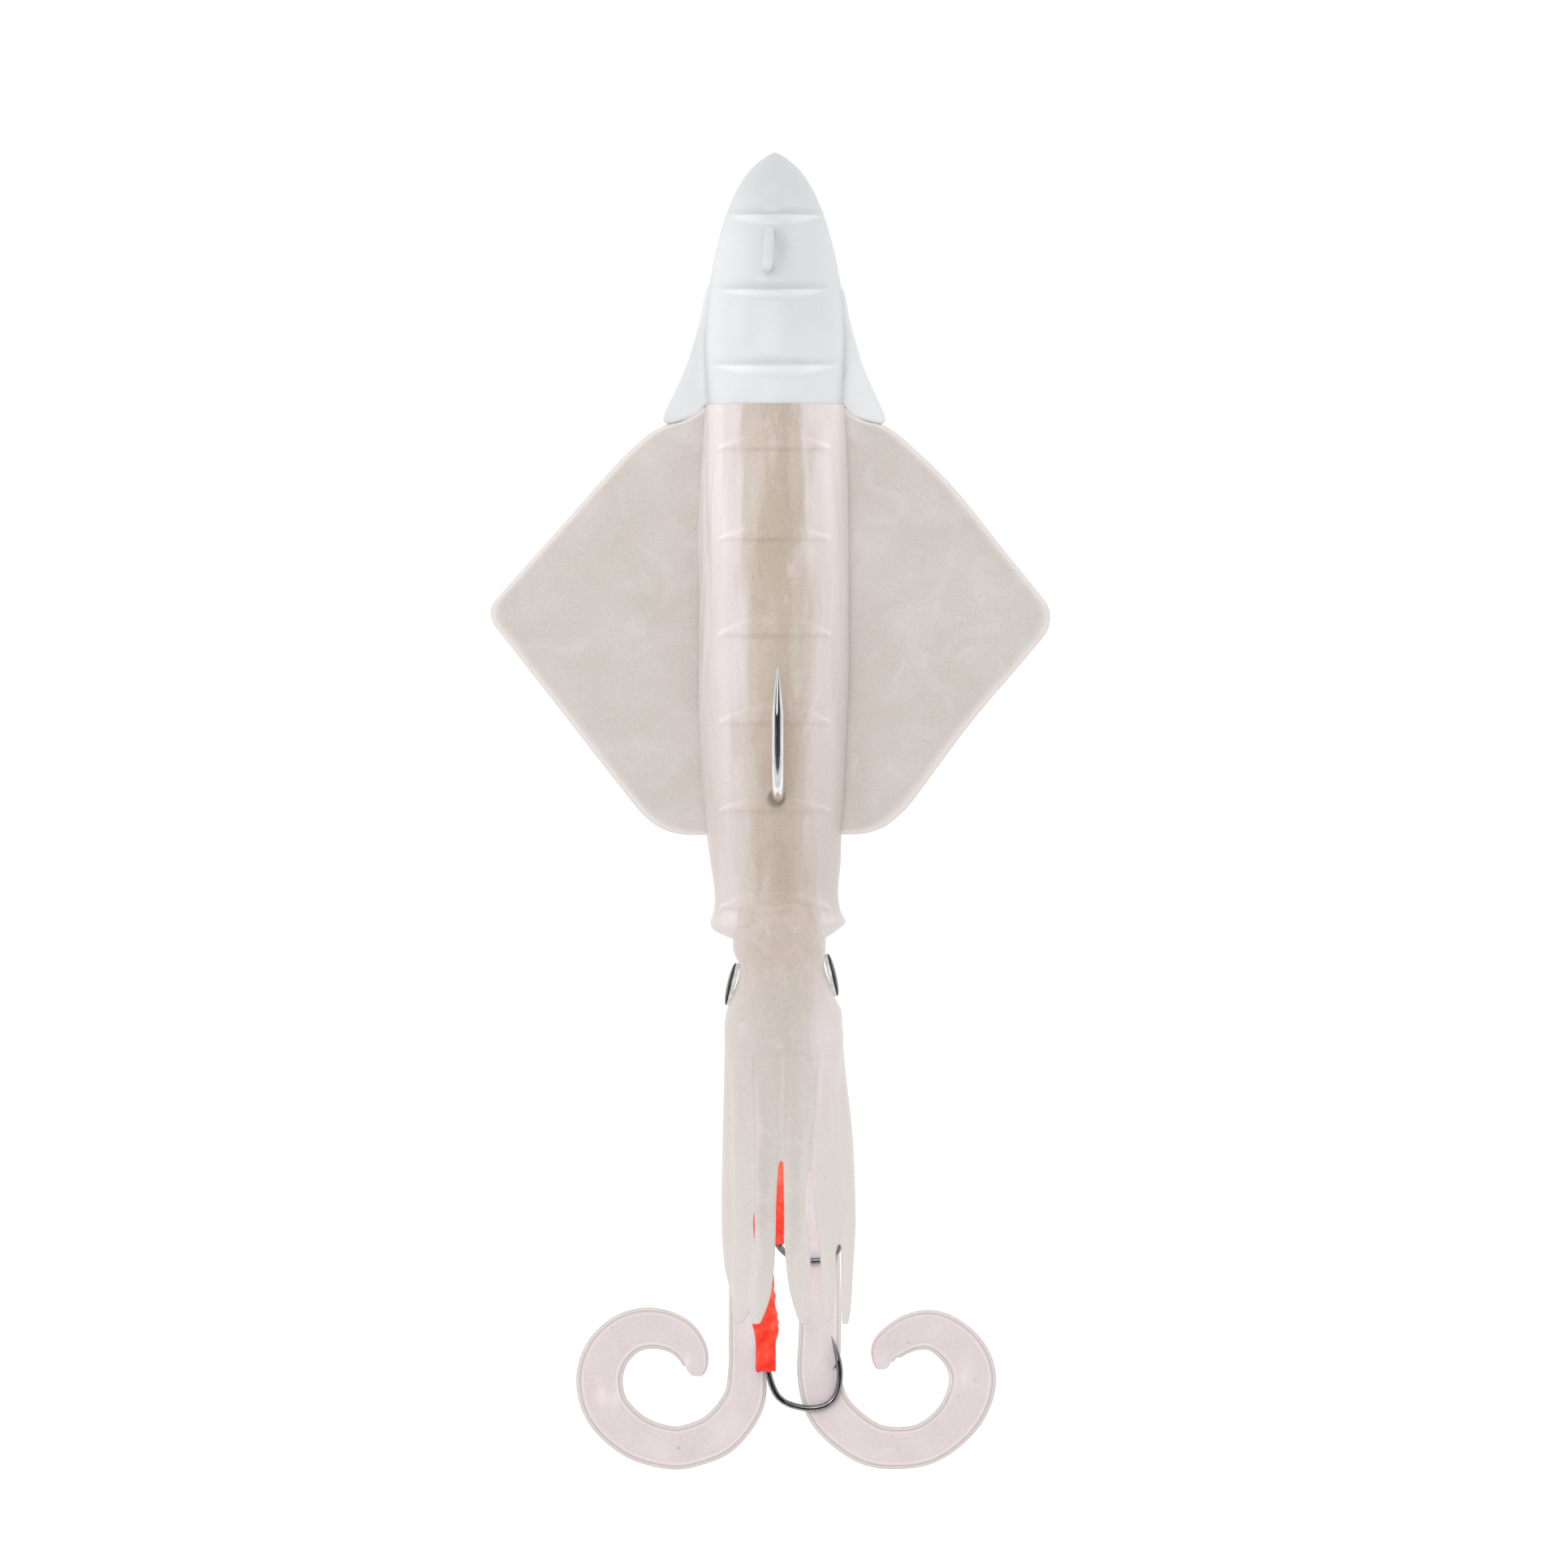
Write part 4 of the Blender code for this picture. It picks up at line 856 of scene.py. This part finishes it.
# Ribbons: x, y, width
tentacles = {
    "left": (
        (-2.9, -46.6, 5.5), (-3.7, -60.1, 6.0), (-4.3, -75.1, 6.4), (-4.4, -90.1, 6.6), (-4.3, -97.6, 6.9),
        (-4.3, -103.6, 7.1), (-5.1, -109.5, 7.8), (-9.2, -115.0, 8.2), (-14.3, -117.4, 8.0),
        (-18.8, -117.9, 8.0), (-25.1, -115.9, 8.2), (-30.2, -111.1, 8.4), (-31.7, -105.4, 8.6),
        (-30.2, -100.3, 8.4), (-26.5, -96.8, 7.9), (-22.0, -95.8, 7.6), (-17.5, -97.0, 7.0),
        (-14.8, -99.7, 6.0), (-13.9, -102.7, 4.6), (-14.5, -104.6, 2.2),
    ),
    "right": (
        (7.6, -46.6, 5.5), (8.5, -60.1, 6.2), (9.1, -75.1, 6.8), (9.2, -90.1, 7.6), (9.1, -97.6, 7.8),
        (9.0, -104.3, 8.1), (10.4, -110.1, 8.3), (13.7, -114.1, 8.3), (18.4, -117.2, 8.1),
        (23.3, -118.0, 7.8), (28.6, -117.2, 7.8), (33.1, -114.2, 8.0), (36.2, -110.0, 8.5),
        (37.4, -104.9, 8.7), (35.6, -100.1, 8.3), (31.0, -96.5, 7.6), (26.3, -96.5, 7.0),
        (21.8, -99.2, 5.9), (20.8, -101.8, 4.0), (21.2, -103.4, 1.8),
    ),
    "height": 2.4,
    "squareness": 5.0,
    "bead": 0.14,
    "roundFrom": 0.975,
    # Marks: painted highlights on the curls, painted light on the ribbons where they lie in shade under and
    # between the arms, lighter stems by the arms' tips, and two dark specks
    "marks": (
        (-31.3, -107.7, 0.7, 2.6, 0.18), (-28.8, -109.0, 0.8, 1.8, 0.12), (36.2, -104.5, 0.8, 2.6, 0.18),
        (33.2, -105.7, 0.6, 1.7, 0.12), (-15.4, -101.8, 0.5, 1.6, 0.12), (-13.7, -118.1, 0.4, 0.4, -0.9),
        (23.5, -118.6, 0.3, 0.4, -0.7), (-4.6, -99.0, 1.6, 7.0, 0.08), (9.0, -99.0, 1.4, 6.0, 0.03),
        (9.3, -75.0, 2.4, 10.0, 0.11), (13.4, -88.0, 1.6, 9.0, 0.06),
    ),
    "around": 64,
    "along": 300,
}


def numbered(knots):
    return [(i, *knot) for i, knot in enumerate(knots)]


# The way a numbered route runs at a place, from its first two or three values
def wayAlong(route, place, values):
    step = 0.05
    ahead = Vector(valueAt(route, min(place + step, len(route) - 1))[:values])
    behind = Vector(valueAt(route, max(place - step, 0))[:values])
    return (ahead - behind).normalized()


# How far out on a ribbon a turn lies: 0 in the middle, 1 at the edge
def ribbonShare(turn):
    return abs(math.cos(2 * math.pi * turn)) ** (2 / tentacles["squareness"])


def ribbonSurface(knots):
    route = numbered(knots)
    last = len(knots) - 1

    def surface(turn, reach):
        place = reach * last
        x, y, width = valueAt(route, place)
        along = wayAlong(route, place, 2)
        roundEnd = math.sqrt(max(0.0, 1 - ease(reach, tentacles["roundFrom"], 1.0) ** 2))
        half = width / 2 * max(roundEnd, 0.02)
        section = ovalPoint(
            turn, 0, 0, tentacles["height"] / 2, half, tentacles["height"] / 2, tentacles["height"] / 2,
            tentacles["squareness"],
        )
        share = ribbonShare(turn)
        bead = tentacles["bead"] * ease(share, 0.72, 0.84) * (1 - ease(share, 0.86, 1.0))
        if turn < 0.5:
            section.z += bead * roundEnd
        return Vector((x - along.y * section.x, y + along.x * section.x, section.z))
    return surface


# A wire round a flat route, whose plane has this normal
def wireSurface(points, radiusAt, normal):
    route = numbered(points)
    last = len(points) - 1

    def surface(turn, reach):
        place = reach * last
        middle = Vector(valueAt(route, place))
        side = wayAlong(route, place, 3).cross(normal)
        angle = 2 * math.pi * turn
        return middle + (side * math.cos(angle) + normal * math.sin(angle)) * radiusAt(reach)
    return surface


pointPower = 0.8  # how full the hooks' points are: 1 is a cone
lineEye = {
    "x": -0.4, "lean": 0.06, "y": 103.7, "wire": 1.7, "bend": 3.35, "rootZ": 19.2, "bendZ": 26.4,
    "rearLight": 0.10, "frontShade": 0.07,
}
mainHook = {
    "x": 1.3, "wire": 2.25, "bend": 10.5, "bendY": 12.4, "bendZ": 20.8, "tip": (26.9, 32.6),
    "start": 176, "end": 98, "taperShare": 0.132,
}
stinger = {
    "route": (
        (-1.0, -99.4), (-0.7, -102.4), (-0.1, -105.2), (0.9, -107.7), (2.4, -109.3), (4.6, -110.2),
        (7.2, -110.6), (9.8, -110.2), (11.6, -108.9), (12.5, -106.9), (12.8, -104.2), (12.5, -101.6),
        (11.9, -99.2), (11.2, -97.1),
    ),
    "wire": 1.2,
    "z": 3.4,
    "shifts": {"stinger_hook_lower": (0, 0), "stinger_hook_upper": (0.6, 27.3)},
    "taperShare": 0.16,
    "barbSize": 0.42,
    "barbFrom": (12.5, -102.1),
    "barbTo": (11.5, -103.6),
}
sleeves = {
    "shrink_sleeve_lower": (
        (-103.6, -0.9, 1.9, 1.75), (-98.2, -0.9, 1.9, 1.8), (-96.8, -0.8, 2.2, 1.9),
        (-94.8, -0.95, 2.4, 1.9), (-93.2, -0.7, 2.1, 1.8), (-91.6, -0.35, 1.15, 1.5),
        (-89.8, -0.3, 1.25, 1.35), (-88.8, 0.0, 0.65, 1.1), (-86.6, 0.2, 0.45, 0.8), (-83.8, 0.05, 0.3, 0.5),
    ),
    "shrink_sleeve_upper": (
        (-80.1, -0.3, 2.8, 2.1), (-72, -0.2, 2.75, 2.1), (-66, 0.4, 2.4, 1.9), (-60, 1.2, 1.9, 1.6),
        (-55.6, 1.5, 1.6, 1.4),
    ),
}
sleeveFloorZ = 2.75
sleeveRagged = 1.1
sleeveFoldRadius = 0.24
sleeveFold = ((-3.0, -74.2, 11.26), (-3.0, -75.5, 10.97), (-3.0, -76.8, 10.77), (-3.0, -79.3, 10.39))
eyes = {
    "eye_left": ((-6.7, -32.1), 167),
    "eye_right": ((10.8, -30.4), 13),
    "radius": 4.0,
    "rim": 0.9,
    "band": 0.75,
    "dome": 0.7,
    "z": 11.2,
    "sink": 0.2,
    "edge": 0.15,
    "domeSteps": 14,
}


def makeMantle(look):
    bm = bmesh.new()
    wrapGrid(bm, mantleSurface, mantle["around"], mantle["along"])
    addPiece(bm, "mantle_skin", [look], ["soft_body"], mantleTone)


def makeFins(look):
    for side in ("left", "right"):
        def rimAt(turn, reach):
            width, inset, z = platePlace(turn, reach, fins[side], fins["thickness"])[2:]
            return ease(inset, width - fins["rimWidth"], width) if z > -fins["thickness"] / 4 else 0.8

        bm = bmesh.new()
        wrapGrid(bm, finSurface(side), fins["around"], fins["along"], rimAt)
        strokes = ((0.6, 0.035, fins["flow"][side]),)
        addPiece(
            bm, "fin_" + side, [look], ["soft_body"], lambda point: softMarks(point, strokes)
        )


def makeCrown(look):
    bm = bmesh.new()
    wrapGrid(bm, headSurface, 96, 96)
    for knots in arms.values():
        wrapGrid(bm, armSurface(knots), 28, 90)
    cast = castAsOne(bm, "crown", head["voxel"], 4)
    piece = addPiece(
        cast, "crown_and_arms", [look], ["soft_body"],
        lambda point: softMarks(point, head["strokes"], head["blobs"]),
    )
    piece.visible_diffuse = False  # the thin arms let daylight through to what lies under them
    piece.visible_shadow = False


def makeTentacles(look):
    for side in ("left", "right"):
        bm = bmesh.new()
        wrapGrid(
            bm, ribbonSurface(tentacles[side]), tentacles["around"], tentacles["along"],
            lambda turn, reach: ribbonShare(turn),
        )
        addPiece(
            bm, "tentacle_" + side, [look], ["soft_body"],
            lambda point: softMarks(point, (), tentacles["marks"]),
        )


def makeLead(look):
    bm = bmesh.new()
    wrapGrid(bm, leadSurface, 140, 160)
    for outline in lead["wings"]:
        wrapGrid(bm, wingSurface(outline), 60, 70)
    cast = castAsOne(bm, "lead", lead["voxel"], 2)
    carveLead(cast)
    addPiece(cast, "lead_casting", [look], ["lead_head"], leadTone)


def makeLineEye(look):
    sideways = lineEye["lean"] * lineEye["bend"]
    points = [(lineEye["x"] + sideways, lineEye["y"] + lineEye["bend"], lineEye["rootZ"])]
    for degrees in range(0, 181, 15):
        angle = math.radians(degrees)
        y = lineEye["y"] + lineEye["bend"] * math.cos(angle)
        x = lineEye["x"] + sideways * math.cos(angle)
        points.append((x, y, lineEye["bendZ"] + lineEye["bend"] * math.sin(angle)))
    points.append((lineEye["x"] - sideways, lineEye["y"] - lineEye["bend"], lineEye["rootZ"]))
    bm = bmesh.new()
    wrapGrid(bm, wireSurface(points, lambda reach: lineEye["wire"] / 2, Vector((1, 0, 0))), 24, 90)

    # Painted highlight on the line eye's rear leg and painted shade on its front leg
    def wireTone(point):
        light = lineEye["rearLight"] * (1 - ease(point.y, 100.5, 103.5))
        return light - lineEye["frontShade"] * ease(point.y, 104.8, 106.8)

    addPiece(bm, "line_tie_wire", [look], ["line_eye"], wireTone)


def makeMainHook(look):
    points = []
    for degrees in range(mainHook["start"], mainHook["end"] - 1, -6):
        angle = math.radians(degrees)
        y = mainHook["bendY"] + mainHook["bend"] * math.cos(angle)
        points.append((mainHook["x"], y, mainHook["bendZ"] + mainHook["bend"] * math.sin(angle)))
    bendEnd, tip = Vector(points[-1]), Vector((mainHook["x"], *mainHook["tip"]))
    for share in (0.25, 0.5, 0.75, 1.0):
        points.append(tuple(bendEnd.lerp(tip, share)))
    bm = bmesh.new()

    def radiusAt(reach):
        toTip = (1 - reach) / mainHook["taperShare"]
        return mainHook["wire"] / 2 * min(1.0, max(0.0, toTip)) ** pointPower

    wrapGrid(bm, wireSurface(points, radiusAt, Vector((1, 0, 0))), 32, 140)
    addPiece(bm, "main_hook_point", [look], ["main_hook"])


def makeStingers(look):
    for name, shift in stinger["shifts"].items():
        points = [(x + shift[0], y + shift[1], stinger["z"]) for x, y in stinger["route"]]
        bm = bmesh.new()

        def radiusAt(reach):
            toTip = (1 - reach) / stinger["taperShare"]
            return stinger["wire"] / 2 * min(1.0, max(0.0, toTip)) ** pointPower

        wrapGrid(bm, wireSurface(points, radiusAt, Vector((0, 0, 1))), 20, 160)
        root = Vector((*stinger["barbFrom"], 0)) + Vector((*shift, stinger["z"]))
        end = Vector((*stinger["barbTo"], 0)) + Vector((*shift, stinger["z"]))

        def barb(turn, reach):
            middle = root.lerp(end, reach)
            angle = 2 * math.pi * turn
            size = stinger["barbSize"] * (1 - reach)
            across = Vector((1, 0, 0)) * math.cos(angle) + Vector((0, 0, 1)) * math.sin(angle)
            return middle + across * size

        wrapGrid(bm, barb, 12, 10)
        addPiece(bm, name + "_wire", [look], [name])


def makeSleeves(look):
    for name, knots in sleeves.items():
        front, rear = knots[-1][0], knots[0][0]

        def surface(turn, reach):
            angle = 2 * math.pi * turn
            ragged = sleeveRagged * noise.noise(Vector((math.cos(angle) * 2.2, math.sin(angle) * 2.2, 4.0)))
            y = mix(front, rear, reach)
            x, halfWidth, halfHeight = valueAt(knots, y)
            z = sleeveFloorZ + max(halfHeight, knots[0][3])
            creased = 0.025 + 0.14 * ease(y, -97.0, -94.0) * (1 - ease(y, -84.0, -82.0))
            around = Vector((math.cos(angle) * 1.5, math.sin(angle) * 1.5, y * 1.1))
            crumple = 1 + creased * noise.noise(around)
            tall = halfHeight * crumple
            point = ovalPoint(turn, x, y, z, halfWidth * crumple, tall, tall, 2.6)
            point.y += ragged * (ease(reach, 0.9, 1.0) + 1 - ease(reach, 0.0, 0.2))
            return point

        bm = bmesh.new()
        wrapGrid(bm, surface, 48, 130)
        if name == "shrink_sleeve_upper":  # the edge that shows in the crease between two arms
            def foldRadius(reach):
                return sleeveFoldRadius * math.sqrt(max(0.0, math.sin(math.pi * reach)))

            wrapGrid(bm, wireSurface(sleeveFold, foldRadius, Vector((1, 0, 0))), 12, 40)
        piece = addPiece(bm, name + "_tube", [look], [name])
        piece.visible_diffuse = False  # no red light falls on the pale plastic beside it


def makeEyes(foil, pupil):
    for name in ("eye_left", "eye_right"):
        (x, y), facing = eyes[name]
        radius, band = eyes["radius"], eyes["band"]
        rim, edge, steps = eyes["rim"], eyes["edge"], eyes["domeSteps"]
        profile = [(0.0, 0.0), (radius - edge, 0.0), (radius, edge), (radius, band), (radius, rim)]
        for i in range(1, steps + 1):
            angle = math.pi / 2 * i / steps
            profile.append((radius * math.cos(angle), rim + eyes["dome"] * math.sin(angle)))
        bm = bmesh.new()
        line = [bm.verts.new((r * mm, 0, z * mm)) for r, z in profile]
        edges = [bm.edges.new(pair) for pair in zip(line, line[1:])]
        bmesh.ops.spin(
            bm, geom=line + edges, cent=(0, 0, 0), axis=(0, 0, 1), angle=2 * math.pi, steps=72, use_merge=True
        )
        bmesh.ops.remove_doubles(bm, verts=bm.verts, dist=1e-6)
        bmesh.ops.recalc_face_normals(bm, faces=bm.faces)
        for face in bm.faces:
            middle = face.calc_center_median() / mm
            face.material_index = 1 if middle.z > band else 0
        angle = math.radians(facing)
        outward = Vector((math.cos(angle), math.sin(angle), 0))
        side = Vector((-math.sin(angle), math.cos(angle), 0))
        centre = Vector((x, y, eyes["z"])) - outward * eyes["sink"]
        for vert in bm.verts:
            local = vert.co / mm
            vert.co = (centre + outward * local.z + side * local.x + Vector((0, 0, 1)) * local.y) * mm
        bmesh.ops.recalc_face_normals(bm, faces=bm.faces)
        addPiece(bm, name + "_lens", [foil, pupil], [name])


# In metres and watts
studio = {
    "floorSize": 3.0,
    "floorGlow": 0.92,
    "keyPlace": (-0.22, 0.34, 1.15),
    "keyAim": (0, 0.03, 0.01),
    "keySize": (0.7, 0.7),
    "keyPower": 3.5,
    "worldLight": 0.8,
}


def makeStudio():
    bm = bmesh.new()
    bmesh.ops.create_grid(bm, x_segments=1, y_segments=1, size=studio["floorSize"])
    floor = objectFrom(bm, "studio_floor")
    look, tree, shader, place = newMaterial("white_table", {
        "Roughness": 0.9, "Emission Strength": studio["floorGlow"], "Emission Color": (1, 1, 1, 1),
    })
    cloud = addNode(tree, "TexNoise", {"Scale": 1 / 40.0}, {"Vector": place})
    paper = addNode(tree, "ValToRGB", {"stops": [(0.3, "#808080"), (0.7, "#848484")]}, {"Fac": cloud})
    tree.links.new(paper, shader.inputs["Base Color"])
    floor.data.materials.append(look)
    floor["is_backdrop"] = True
    lamp = bpy.data.lights.new("key", "AREA")
    lamp.shape = "RECTANGLE"
    lamp.size, lamp.size_y = studio["keySize"]
    lamp.energy = studio["keyPower"]
    holder = bpy.data.objects.new("key", lamp)
    holder.location = studio["keyPlace"]
    toLure = Vector(studio["keyAim"]) - Vector(studio["keyPlace"])
    holder.rotation_euler = toLure.to_track_quat("-Z", "Y").to_euler()
    bpy.context.scene.collection.objects.link(holder)
    world = bpy.data.worlds.new("light_tent")
    bpy.context.scene.world = world
    world.use_nodes = True
    tree = world.node_tree
    background = tree.nodes["Background"]
    direction = addNode(tree, "TexCoord", output="Generated")
    height = addNode(tree, "SeparateXYZ", {}, {"Vector": direction}, "Z")
    mirror = addNode(
        tree, "ValToRGB", {"stops": [(0.0, 1.0), (0.45, 1.0), (0.72, 0.10), (1.0, 0.03)]}, {"Fac": height}
    )
    glossy = addNode(tree, "LightPath", output="Is Glossy Ray")
    light = addNode(tree, "MixRGB", {"Color1": "#ffffff"}, {"Fac": glossy, "Color2": mirror})
    tree.links.new(light, background.inputs["Color"])
    background.inputs["Strength"].default_value = studio["worldLight"]
    bpy.context.scene.view_settings.view_transform = "Standard"


cameraView = {"lens": 600.0, "sensor": 36.0, "frameWidth": 289.8, "centre": (2.475, 5.025), "sharpZ": 13.0}


def makeCamera():
    data = bpy.data.cameras.new("overhead")
    data.lens = cameraView["lens"]
    data.sensor_width = cameraView["sensor"]
    camera = bpy.data.objects.new("overhead", data)
    distance = cameraView["frameWidth"] * cameraView["lens"] / cameraView["sensor"]
    camera.location = Vector((*cameraView["centre"], cameraView["sharpZ"] + distance)) * mm
    bpy.context.scene.collection.objects.link(camera)
    bpy.context.scene.camera = camera


makeCamera()
makeStudio()
white = leadPaint()
makeMantle(mantlePearl())
makeFins(finPearl())
makeCrown(armPearl())
makeTentacles(tentaclePearl())
makeLead(white)
makeLineEye(white)
makeMainHook(nickelPlate("bright_nickel_plate", "#dcdcdd", "#f0f0f0"))
makeStingers(nickelPlate("black_nickel_plate", "#88898c", "#a8a9ac"))
makeSleeves(redShrink())
makeEyes(eyeFoil(), eyePupil())

boxes = {"cad": cadBox, "visual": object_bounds()}
{name: [list(corner) for corner in box] for name, box in boxes.items()}
